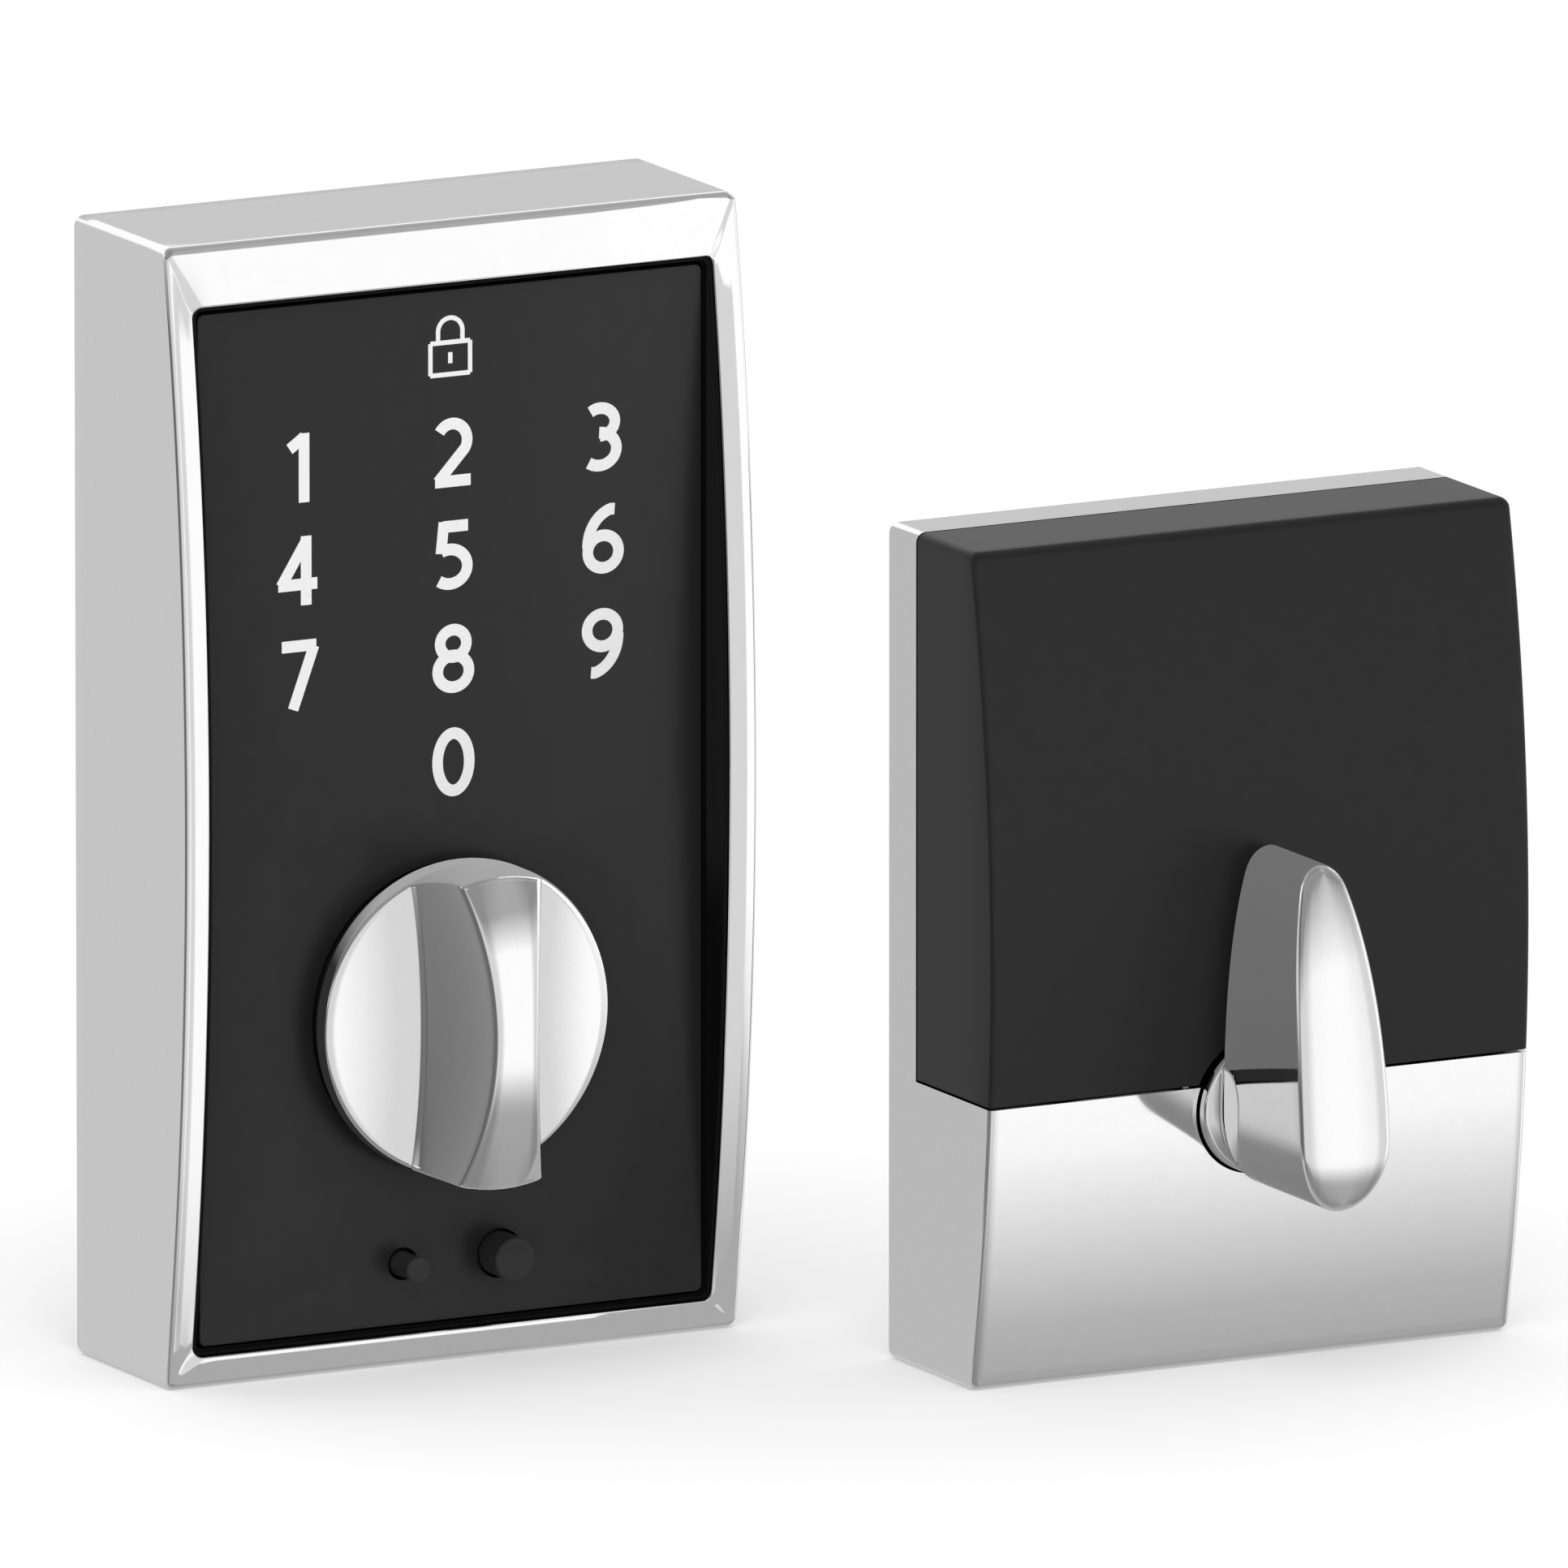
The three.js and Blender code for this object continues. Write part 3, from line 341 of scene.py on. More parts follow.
def bevel(piece):
    modifier = piece.modifiers.new("edges", "BEVEL")
    modifier.width = EDGE_WIDTH * MM
    modifier.segments = 2
    modifier.limit_method = "ANGLE"
    modifier.angle_limit = math.radians(EDGE_ANGLE)
    modifier.harden_normals = True


def subtract(piece, tool):
    """Cuts the tool's shape out of the piece for good, and removes the tool."""
    modifier = piece.modifiers.new("cut", "BOOLEAN")
    modifier.operation = "DIFFERENCE"
    modifier.solver = "EXACT"
    modifier.object = tool
    graph = bpy.context.evaluated_depsgraph_get()
    made = bpy.data.meshes.new_from_object(piece.evaluated_get(graph))
    piece.modifiers.remove(modifier)
    piece.data = made
    made.set_sharp_from_angle(angle=SMOOTH_ANGLE)
    bpy.data.objects.remove(tool)


# ---- Casings -------------------------------------------------------------------------------

CORNER_STEPS = 6
FILLET_STEPS = 6
LEAST_CORNER = 0.25


class Unit:
    """A casing's outline and crowned front. The crown's top is the front of front_node."""

    def __init__(self, node, front_node, crown, corner):
        low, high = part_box(node)
        self.width = (high.x - low.x) / MM
        self.height = (high.z - low.z) / MM
        self.crown = crown
        self.depth = (high.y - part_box(front_node)[0].y) / MM - crown
        self.corner = corner

    def front(self, z):
        """y of the front's arc at height z."""
        half = self.height / 2
        radius = (half**2 + self.crown**2) / (2 * self.crown)
        rise = math.sqrt(radius**2 - (z - half) ** 2) - (radius - self.crown)
        return -(self.depth + rise)


def around(x0, x1, z0, z1, radius, xs, zs):
    """(x, z, share) round a rounded rectangle, with points at xs and zs on its straight sides.

    The share is 1 where the outline faces up or down, and 0 where it faces a side.
    """
    points = [(x, z0, 1.0) for x in xs]

    def corner(cx, cz, start):
        for i in range(CORNER_STEPS + 1):
            t = start + math.pi / 2 * i / CORNER_STEPS
            points.append((cx + radius * math.cos(t), cz + radius * math.sin(t), math.sin(t) ** 2))

    corner(x1 - radius, z0 + radius, -math.pi / 2)
    points.extend((x1, z, 0.0) for z in zs)
    corner(x1 - radius, z1 - radius, 0)
    points.extend((x, z1, 1.0) for x in reversed(xs))
    corner(x0 + radius, z1 - radius, math.pi / 2)
    points.extend((x0, z, 0.0) for z in reversed(zs))
    corner(x0 + radius, z0 + radius, math.pi)
    return points


def spread(low, high, count):
    return [low + (high - low) * i / (count - 1) for i in range(count)]


def casing_loops(unit, inset, side_fillet, end_fillet, xs, zs, levels):
    """Loops of a casing's sides and fillets, from the door face forward."""

    def ring(dx, dz):
        radius = max(unit.corner - inset - (dx + dz) / 2, LEAST_CORNER)
        half = unit.width / 2 - inset - dx
        return around(-half, half, inset + dz, unit.height - inset - dz, radius, xs, zs)

    loops = [[(x, y, z) for x, z, _ in ring(0, 0)] for y in levels]
    for step in range(FILLET_STEPS + 1):
        turn = math.pi / 2 * step / FILLET_STEPS
        back, gone = 1 - math.sin(turn), 1 - math.cos(turn)
        loop = []
        for x, z, up in ring(side_fillet * gone, end_fillet * gone):
            fillet = side_fillet + (end_fillet - side_fillet) * up
            loop.append((x, unit.front(z) + inset + fillet * back, z))
        loops.append(loop)
    return loops


OUTSIDE = Unit("outside_housing", "outside_housing", 5.3, 1.3)
INSIDE = Unit("inside_housing", "battery_cover", 5.2, 1.2)
GAP = 0.3
BEZEL_SIDE, BEZEL_BOTTOM, BEZEL_TOP = 3.4, 3.7, 7.2
BEZEL_SLOPE, BEZEL_END_SLOPE = 0.5, 0.05  # how far its sides and its ends lean back towards the window
WINDOW_CORNER, WINDOW_EDGE = 1.2, 0.3
OUTSIDE_WALL, OUTSIDE_WALL_CORNER = 2.2, 0.6
OUTSIDE_LEVELS = (-0.3, -4, -8, -12, -16, -19)
WALL_MIDDLE = -21.5  # part of the way down the window's wall
LIP_BACK = -19.5
SIDE_FILLET, END_FILLET = 0.55, 0.9
SCREEN_FRONT = -(OUTSIDE.depth - GAP)


def outside_casing():
    """The chrome casing: sides, fillets, bezel, window wall and hollow back, all in one closed skin."""
    width, height = OUTSIDE.width, OUTSIDE.height
    xs, zs = spread(-width / 2 + 6, width / 2 - 6, 9), spread(10, height - 12, 37)
    loops = casing_loops(OUTSIDE, 0, SIDE_FILLET, END_FILLET, xs, zs, OUTSIDE_LEVELS)
    rim = [(x * 0.996, 0.0, height / 2 + (z - height / 2) * 0.998) for x, _, z in loops[0]]
    loops.insert(0, rim)

    def window(outset, y_of, slope=0.0, end_slope=0.0):
        half = width / 2 - BEZEL_SIDE + outset
        foot, top = BEZEL_BOTTOM - outset, height - BEZEL_TOP + outset
        ring = around(-half, half, foot, top, WINDOW_CORNER + outset, xs, zs)
        return [(x, y_of(z) + slope * (1 - up) + end_slope * up, z) for x, z, up in ring]

    slopes = BEZEL_SLOPE, BEZEL_END_SLOPE
    near, far = loops[-1], window(WINDOW_EDGE, OUTSIDE.front, *slopes)
    for share in (0.35, 0.7):
        loops.append([tuple(Vector(a).lerp(Vector(b), share)) for a, b in zip(near, far)])
    for step in range(5):
        turn = math.pi / 2 * step / 4
        out, back = WINDOW_EDGE * (1 - math.sin(turn)), WINDOW_EDGE * (1 - math.cos(turn))
        loops.append(window(out, lambda z: OUTSIDE.front(z) + back, *slopes))
    loops += [window(0, lambda z: WALL_MIDDLE), window(0, lambda z: LIP_BACK)]
    half, top = width / 2 - OUTSIDE_WALL, height - OUTSIDE_WALL
    inner = around(-half, half, OUTSIDE_WALL, top, OUTSIDE_WALL_CORNER, xs, zs)
    loops += [[(x, y, z) for x, z, _ in inner] for y in (LIP_BACK, -10.0, 0.0)]
    loops.append(loops[0])
    points = place(OUTSIDE_AT, flatten(loops))
    piece = make_piece("outside_casing", points, bridge(loops), CHROME)
    return finish_piece(piece, "casings", "chrome", "outside_housing")


INSIDE_WALL = 2.0
COVER_SPLIT = 34.3
BAND = 6.7
INSIDE_LEVELS = (-0.3, -3.2, -BAND, -BAND - GAP, -9, -12, -15, -18)
INSIDE_FILLETS, INNER_FILLETS = (0.6, 1.0), (0.3, 0.3)
FRONT_MARGIN = 1.0  # from the fillets to the front's grid
TURN_Z = 31.5
COLLAR_RADIUS = 8.0
HOLE_FRONT, HOLE_BACK = -40, -10


def inside_shell(name, material, keep, hole):
    """The part of the inside casing that keep(x, y, z) picks, as a wall with a rounded rim."""
    width, height = INSIDE.width, INSIDE.height
    xs = spread(-width / 2 + 5, width / 2 - 5, 25)
    zs = sorted(spread(4, 32, 11) + [COVER_SPLIT, COVER_SPLIT + GAP] + spread(37, height - 4, 24))

    def skin(inset, side_fillet, end_fillet):
        loops = casing_loops(INSIDE, inset, side_fillet, end_fillet, xs, zs, INSIDE_LEVELS)
        loops.insert(0, [(x, 0.0, z) for x, _, z in loops[0]])
        half = width / 2 - inset - side_fillet - FRONT_MARGIN
        foot = inset + end_fillet + FRONT_MARGIN
        ring = around(-half, half, foot, height - foot, 0.0, xs, zs)
        loops.append([(x, INSIDE.front(z) + inset, z) for x, z, _ in ring])
        points, faces = flatten(loops), bridge(loops)
        columns, rows = [-half] + xs + [half], [foot] + zs + [height - foot]
        grid = [[(x, INSIDE.front(z) + inset, z) for x in columns] for z in rows]
        faces += bridge(grid, closed=False, first=len(points))
        return points + flatten(grid), faces

    outer, faces = skin(0.0, *INSIDE_FILLETS)
    inner, _ = skin(INSIDE_WALL, *INNER_FILLETS)
    kept = [f for f in faces if keep(*(sum(outer[i][k] for i in f) / len(f) for k in range(3)))]

    # The grid of the front meets the fillets' last loop point by point, so edges are matched by place.
    names = {}
    same = [names.setdefault(tuple(round(c, 4) for c in p), i) for i, p in enumerate(outer)]
    kept = [tuple(dict.fromkeys(same[i] for i in f)) for f in kept]
    kept = [f for f in kept if len(f) > 2]
    uses = {}
    for f in kept:
        for a, b in zip(f, f[1:] + f[:1]):
            uses.setdefault(frozenset((a, b)), []).append((a, b))
    count = len(outer)
    rims = [(a, b, b + count, a + count) for pair in uses.values() if len(pair) == 1 for a, b in pair]
    closed = kept + [tuple(i + count for i in reversed(f)) for f in kept] + rims
    piece = make_piece(name, place(INSIDE_AT, outer + inner), closed, material)
    profile = [(0, HOLE_FRONT), (hole, HOLE_FRONT), (hole, HOLE_BACK), (0, HOLE_BACK)]
    subtract(piece, lathe(name + "_hole", INSIDE_AT, 0, TURN_Z, profile, material, 128))
    bevel(piece)
    return piece


def lower_casing():
    piece = inside_shell(
        "lower_casing", CHROME,
        lambda x, y, z: z < COVER_SPLIT or y > -BAND,
        COLLAR_RADIUS + GAP,
    )
    return finish_piece(piece, "casings", "chrome", "inside_housing")


def upper_cover():
    piece = inside_shell(
        "upper_cover", BLACK_COVER,
        lambda x, y, z: z > COVER_SPLIT + GAP and y < -BAND - GAP,
        COLLAR_RADIUS + 2 * GAP,
    )
    return finish_piece(piece, "cover", "black_cover", "battery_cover")


# ---- Knob ----------------------------------------------------------------------------------

KNOB_Z = 41.4
KNOB_RADIUS = 18.7
KNOB_RIM, KNOB_CHAMFER = 0.55, 0.3  # the round of its front edge and the chamfer of its back one
KNOB_FACE = -(OUTSIDE.depth + 4.5)
KNOB_BACK = KNOB_FACE + 3.0
KNOB_HUB = 9.0
KNOB_HUB_END = -16.0
KNOB_BORE, KNOB_BORE_END = 3.3, KNOB_FACE - 3.3
KNOB_ROWS, MOON_STEPS = 61, 14
BAR_PROUD = (16.8, 13.0)  # each of these goes from the bar's middle to its ends
BAR_TIP = (2.9, 5.3)
BAR_BASE = (6.4, 7.6)
BAR_FLAT, BAR_ROUND = 0.82, 1.0  # the flat share of its face, and the depth of the round beside it
BAR_HOLLOW = 1.9
MOON_DISH, MOON_WIDTH = 0.55, 12.0  # how far a half moon falls from the bar's foot to the rim


def bar_section(v):
    """(x, y) from the bar's middle to its root on the half moon, v of the way from its middle to its end."""

    def along(pair):
        return pair[0] + (pair[1] - pair[0]) * v * v

    tip, base = along(BAR_TIP), along(BAR_BASE)
    face = -(OUTSIDE.depth + along(BAR_PROUD))
    points = [(tip * BAR_FLAT * share, face) for share in (0.0, 0.35, 0.7, 1.0)]
    down = Vector((tip + 0.02 * (base - tip), face + BAR_ROUND))
    turn = [Vector(points[-1]), Vector((tip, face)), down]
    points += [tuple(bezier(turn, i / 5)) for i in range(1, 6)]
    drop = KNOB_FACE - 0.25 - down.y
    for i in range(1, 15):
        t = i / 14
        points.append((down.x + (base - down.x) * t**BAR_HOLLOW, down.y + drop * t))
    return points + [(base + 0.12, KNOB_FACE - 0.1), (base + 0.4, KNOB_FACE)]


def knob_row(v, side, radius):
    """One side of the knob's front at the share v of its height, from the bar's middle to the rim."""
    points = []
    for x, y in bar_section(v):
        x = min(x, radius)
        points.append((side * x, y, v * math.sqrt(radius**2 - x**2)))
    root = Vector(points[-1])
    angle = v * math.acos(bar_section(1.0)[-1][0] / radius)
    rim = Vector((side * radius * math.cos(angle), KNOB_FACE, radius * math.sin(angle)))
    for i in range(1, MOON_STEPS + 1):
        p = root.lerp(rim, i / MOON_STEPS)
        gone = min((p - root).length / MOON_WIDTH, 1.0)
        points.append((p.x, KNOB_FACE + MOON_DISH * (1 - (1 - gone) ** 2), p.z))
    return points


def knob():
    """The round knob: half moons, a waisted bar with hollowed sides, a rounded rim and a hub."""
    radius = KNOB_RADIUS - KNOB_RIM
    rows = []
    for i in range(KNOB_ROWS):
        v = math.sin(math.pi * (i / (KNOB_ROWS - 1) - 0.5))
        left, right = knob_row(v, -1, radius), knob_row(v, 1, radius)
        rows.append(list(reversed(left[1:])) + right)
    points, faces = flatten(rows), bridge(rows, closed=False)
    count, last = len(rows[0]), KNOB_ROWS - 1
    border = list(range(count)) + [r * count + count - 1 for r in range(1, KNOB_ROWS)]
    border += [last * count + c for c in range(count - 2, -1, -1)]
    border += [r * count for r in range(last - 1, 0, -1)]
    away = [Vector((points[i][0], points[i][2])).normalized() for i in border]

    def ring(r, y):
        return [(a.x * r, y, a.y * r) for a in away]

    loops = []
    for step in range(1, 5):
        turn = math.pi / 2 * step / 4
        r, fall = radius + KNOB_RIM * math.sin(turn), KNOB_RIM * (1 - math.cos(turn))
        loops.append([(a.x * r, points[i][1] + fall, a.y * r) for a, i in zip(away, border)])
    loops += [ring(KNOB_RADIUS, KNOB_BACK - KNOB_CHAMFER), ring(KNOB_RADIUS - KNOB_CHAMFER, KNOB_BACK)]
    loops += [ring(KNOB_HUB, KNOB_BACK), ring(KNOB_HUB, KNOB_HUB_END), ring(KNOB_BORE, KNOB_HUB_END)]
    loops += [ring(KNOB_BORE, KNOB_BORE_END), ring(0.0, KNOB_BORE_END)]
    first = len(points)
    points += flatten(loops)
    faces += bridge(loops, first=first)
    for i in range(len(border)):
        j = (i + 1) % len(border)
        faces.append((border[i], border[j], first + j, first + i))
    shifted = [(x, y, z + KNOB_Z) for x, y, z in points]
    piece = make_piece("round_knob", place(OUTSIDE_AT, shifted), faces, CHROME, CURVED_ANGLE)
    return finish_piece(piece, "knob", "chrome", "outside_knob")


# ---- Thumb turn ----------------------------------------------------------------------------

TURN_BACK = -(INSIDE.depth + 6.5)
TURN_FRONT = -(INSIDE.depth + 26.4)
TURN_LOW, TURN_HIGH, TURN_HALF = 22.6, 62.9, 5.9
TURN_CROWN, CROWN_COLUMNS = 0.1, 8
TURN_EDGE, TURN_BACK_EDGE = 0.75, 0.45
TURN_LEVEL = TURN_Z - 1.5  # where its front face is nearest
TURN_BORE, TURN_BORE_DEPTH = 4.0, 9.3


def turn_outline():
    """(half width, z) from the foot of the teardrop to its tip."""
    z, w, high = TURN_Z, TURN_HALF, TURN_HIGH
    made = []
    for i in range(14):
        t = -math.pi / 2 * (1 - i / 14)
        made.append((w * math.cos(t), z + (z - TURN_LOW) * math.sin(t)))
    long_side = [(w, z), (w, z + 15), (w * 0.79, z + 23), (w * 0.53, high - 3)]
    tip = [(w * 0.53, high - 3), (w * 0.42, high - 0.7), (w * 0.16, high), (0, high)]
    for piece, steps in ((long_side, 22), (tip, 9)):
        curve = [Vector(p) for p in piece]
        made += [tuple(bezier(curve, i / steps)) for i in range(0 if piece is long_side else 1, steps + 1)]
    return made


def turn_face(z):
    """y of the lever's front face at height z, nearest at the axis and falling away to both ends."""
    near = TURN_FRONT + TURN_CROWN
    if z < TURN_LEVEL:
        return near + 1.6 * ((TURN_LEVEL - z) / 8.0) ** 2
    share = (z - TURN_LEVEL) / (TURN_HIGH - TURN_Z + 2.0)
    return near + 2.2 * share + 4.5 * share**2


def thumb_turn():
    """The teardrop lever, with a blind bore behind and a hardly crowned front."""
    half = turn_outline()
    outline = half + [(-w, z) for w, z in reversed(half[1:-1])]
    count = len(outline)

    def inset(amount):
        """The outline moved in along its own normals."""
        made = []
        for i, (x, z) in enumerate(outline):
            before, after = Vector(outline[i - 1]), Vector(outline[(i + 1) % count])
            along = (after - before).normalized()
            made.append((x - along.y * amount, z + along.x * amount))
        return made

    def bore(radius, y):
        """A round of as many points as the outline, each towards its own point."""
        away = [Vector((x, z - TURN_Z)).normalized() * radius for x, z in outline]
        return [(p.x, y, p.y + TURN_Z) for p in away]

    end = TURN_BACK - TURN_BORE_DEPTH
    loops = [bore(0.0, end), bore(TURN_BORE, end), bore(TURN_BORE, TURN_BACK)]
    for inward, forward in ((TURN_BACK_EDGE, 0), (0.13, 0.13), (0, TURN_BACK_EDGE)):
        loops.append([(x, TURN_BACK - forward, z) for x, z in inset(inward)])
    for share in (0.25, 0.5, 0.75):
        loops.append([(x, TURN_BACK + (turn_face(z) - TURN_BACK) * share, z) for x, z in inset(0)])
    for step in range(6):
        turn = math.pi / 2 * step / 5
        ring = inset(TURN_EDGE * (1 - math.cos(turn)))
        loops.append([(x, turn_face(z) + TURN_EDGE * (1 - math.sin(turn)), z) for x, z in ring])
    points, faces = flatten(loops), bridge(loops)

    front = (len(loops) - 1) * count
    rows = []
    for i in range(len(half)):
        a, b = front + i, front + (count - i) % count
        row = [a]
        if a != b:
            for c in range(1, CROWN_COLUMNS):
                share = c / CROWN_COLUMNS
                x, y, z = Vector(points[a]).lerp(Vector(points[b]), share)
                row.append(len(points))
                points.append((x, y - TURN_CROWN * math.sin(math.pi * share), z))
            row.append(b)
        rows.append(row)
    columns = range(CROWN_COLUMNS)
    for low, high in zip(rows, rows[1:]):
        if len(low) == 1:
            faces += [(low[0], high[c], high[c + 1]) for c in columns]
        elif len(high) == 1:
            faces += [(high[0], low[c + 1], low[c]) for c in columns]
        else:
            faces += [(low[c], high[c], high[c + 1], low[c + 1]) for c in columns]
    piece = make_piece("thumb_turn", place(INSIDE_AT, points), faces, CHROME, CURVED_ANGLE)
    return finish_piece(piece, "turn", "chrome", "inside_turn")


# ---- Screen, gasket, collars and contacts --------------------------------------------------

SCREEN_BACK = SCREEN_FRONT + 2.0
SCREEN_INSET, SCREEN_CORNER, SCREEN_EDGE = 1.1, 0.8, 0.1
CONTACTS = ((-6.35, 1.6), (6.35, 2.6))  # (x, radius) of the stud and the socket
CONTACT_Z = 12.0
CONTACT_FRONT = -(OUTSIDE.depth + 3.8)
CONTACT_END = SCREEN_BACK + 5.5
COLLAR_OUTER = KNOB_RADIUS - 0.9
COLLAR_FLANGE = COLLAR_OUTER + 5.1
COLLAR_FRONT = KNOB_BACK + GAP
SLEEVE_WALL, SLEEVE_END = 2.7, -15.5
RING_FLANGE, RING_FLANGE_DEPTH = 9.6, 1.2
RING_BORE, RING_REAR = 4.2, -18.6
BORE_START = -20.0  # where the profile of a bored piece starts and closes


def window_rect(outset):
    half = OUTSIDE.width / 2 - BEZEL_SIDE + outset
    return -half, half, BEZEL_BOTTOM - outset, OUTSIDE.height - BEZEL_TOP + outset


def cut_sheet(name, rect, corner, holes, y_front, y_back, edge, material):
    """A flat panel with round holes and rounded edges, from a filled curve."""
    curve = bpy.data.curves.new(name, "CURVE")
    curve.dimensions = "2D"
    curve.fill_mode = "BOTH"
    thickness = y_back - y_front
    curve.extrude = (thickness / 2 - edge) * MM
    curve.bevel_depth = edge * MM
    curve.bevel_resolution = 3
    x0, x1, z0, z1 = rect
    middle = [0.0], [(z0 + z1) / 2]
    ring = around(x0 + edge, x1 - edge, z0 + edge, z1 - edge, corner - edge, *middle)
    outlines = [[(x, z) for x, z, _ in ring]]
    for hx, hz, radius in holes:
        reach, turn = radius + edge, circle(128 if radius > 8 else 48)
        outlines.append([(hx + reach * math.cos(t), hz + reach * math.sin(t)) for t in turn])
    for outline in outlines:
        spline = curve.splines.new("POLY")
        spline.points.add(len(outline) - 1)
        for point, (x, z) in zip(spline.points, outline):
            point.co = (x * MM, z * MM, 0, 1)
        spline.use_cyclic_u = True
    shape = bpy.data.objects.new(name + "_curve", curve)
    bpy.context.scene.collection.objects.link(shape)
    bpy.context.view_layer.update()
    mesh = bpy.data.meshes.new_from_object(shape.evaluated_get(bpy.context.evaluated_depsgraph_get()))
    bpy.data.objects.remove(shape)
    middle = (y_front + y_back) / 2 * MM
    points = [OUTSIDE_AT + Vector((v.co.x, middle - v.co.z, v.co.y)) for v in mesh.vertices]
    faces = [tuple(p.vertices) for p in mesh.polygons]
    return make_piece(name, points, faces, material)


def screen_panel():
    holes = [(0, KNOB_Z, COLLAR_OUTER + GAP)]
    holes += [(x, CONTACT_Z, r + GAP) for x, r in CONTACTS]
    rect = window_rect(-SCREEN_INSET)
    ends = SCREEN_FRONT, SCREEN_BACK
    piece = cut_sheet("screen_panel", rect, SCREEN_CORNER, holes, *ends, SCREEN_EDGE, SCREEN)
    return finish_piece(piece, "casings", "screen", "touch_screen")


def screen_seal():
    """The black seal: a band round the screen, a thin lining up the window's wall, and the screen's ledge.
    The black is the seal's own colour, and under the window's top edge the band also serves as painted shade.
    """
    xs, zs = spread(-26, 26, 9), spread(12, 118, 31)

    def ring(outset, y):
        rect = window_rect(outset)
        points = [(x, z) for x, z, _ in around(*rect, SCREEN_CORNER, xs, zs)]
        return [(x, y if y < 0 else OUTSIDE.front(z) + y, z) for x, z in points]

    # (outset from the window, y) in turn of the lining, its lip, the band, and the ledge behind the screen.
    # A y above zero is measured back from the crowned front.
    profile = [
        (-0.3, -22.0), (-0.05, -23.0), (-0.05, 0.95),
        (-0.15, 0.8), (-0.4, 0.8), (-0.5, 0.95),
        (-0.55, -22.7), (-0.6, -22.5), (-0.75, -22.5), (-0.8, -22.3), (-0.8, SCREEN_BACK),
        (-3.6, SCREEN_BACK), (-3.6, LIP_BACK + 0.8), (0.9, LIP_BACK + 0.8), (0.9, LIP_BACK), (-0.3, LIP_BACK),
        (-0.3, -22.0),
    ]
    loops = [ring(outset, y) for outset, y in profile]
    piece = make_piece("screen_seal", place(OUTSIDE_AT, flatten(loops)), bridge(loops), RUBBER)
    return finish_piece(piece, "casings", "rubber", "screen_gasket")


def knob_bush():
    """The black bush behind the knob: a flanged disc and a thin sleeve."""
    bore, sleeve = KNOB_HUB + GAP, KNOB_HUB + GAP + SLEEVE_WALL
    profile = rounded(
        [(bore, BORE_START), (bore, COLLAR_FRONT), (COLLAR_OUTER, COLLAR_FRONT), (COLLAR_OUTER, SCREEN_BACK),
         (COLLAR_FLANGE, SCREEN_BACK), (COLLAR_FLANGE, LIP_BACK), (sleeve, LIP_BACK),
         (sleeve, SLEEVE_END), (bore, SLEEVE_END), (bore, BORE_START)],
        0.5,
    )
    piece = lathe("knob_bush", OUTSIDE_AT, 0, KNOB_Z, profile, BLACK_TRIM, 128)
    return finish_piece(piece, "casings", "black_trim", "knob_collar")


def jump_contact(name, contact, front, rounding, node):
    """A contact with the given front, a flange behind the screen, and a pin down to its block."""
    x, r = contact
    low, high = SCREEN_BACK + 1, SCREEN_BACK + 2
    foot = [(r, low), (r + 1, low), (r + 1, high), (r, high), (r, CONTACT_END), (0, CONTACT_END)]
    piece = lathe(name, OUTSIDE_AT, x, CONTACT_Z, rounded(front + foot, rounding), CONTACT, 48)
    finish_piece(piece, "casings", "contact", node)


def jump_contacts():
    """A waisted stud and a wider, hardly dished socket, which take the two ends of a battery's snap."""
    _, r = CONTACTS[0]
    stud = [(0, CONTACT_FRONT), (r, CONTACT_FRONT), (r * 0.86, CONTACT_FRONT + 1.3)]
    jump_contact("jump_stud", CONTACTS[0], stud, 0.35, "contact_small")
    _, r = CONTACTS[1]
    dish = CONTACT_FRONT + 0.06
    socket = [(0, dish), (r * 0.6, dish), (r * 0.66, CONTACT_FRONT), (r, CONTACT_FRONT)]
    jump_contact("jump_socket", CONTACTS[1], socket, 0.3, "contact_large")


def turn_ring():
    """The chrome collar that the thumb turn turns in."""
    seat = INSIDE.front(TURN_Z - RING_FLANGE) + INSIDE_WALL + GAP
    front, back = TURN_BACK + GAP, seat + RING_FLANGE_DEPTH
    profile = rounded(
        [(RING_BORE, BORE_START), (RING_BORE, front), (COLLAR_RADIUS, front), (COLLAR_RADIUS, seat),
         (RING_FLANGE, seat), (RING_FLANGE, back), (COLLAR_RADIUS, back),
         (COLLAR_RADIUS, RING_REAR), (RING_BORE, RING_REAR), (RING_BORE, BORE_START)],
        0.45,
    )
    piece = lathe("turn_ring", INSIDE_AT, 0, TURN_Z, profile, CHROME, 128)
    return finish_piece(piece, "casings", "chrome", "turn_collar")


# ---- Printed digits ------------------------------------------------------------------------

DIGIT_HEIGHT = 8.2
STROKE = 1.38
COLUMNS = (-19.9, 0.35, 20.0)
ROWS = (108.0, 95.8, 83.5, 71.2)
INK, INK_LAYER, INK_ROOT = 0.05, 0.004, 0.1  # each stroke lies a layer above the last one
PADLOCK_FOOT, PADLOCK_STROKE = 117.0, 0.55


def arc(cx, cz, rx, rz, start, end, steps=28):
    """Points of an ellipse's arc between two angles in degrees."""
    made = []
    for i in range(steps + 1):
        t = math.radians(start + (end - start) * i / steps)
        made.append((cx + rx * math.cos(t), cz + rz * math.sin(t)))
    return made


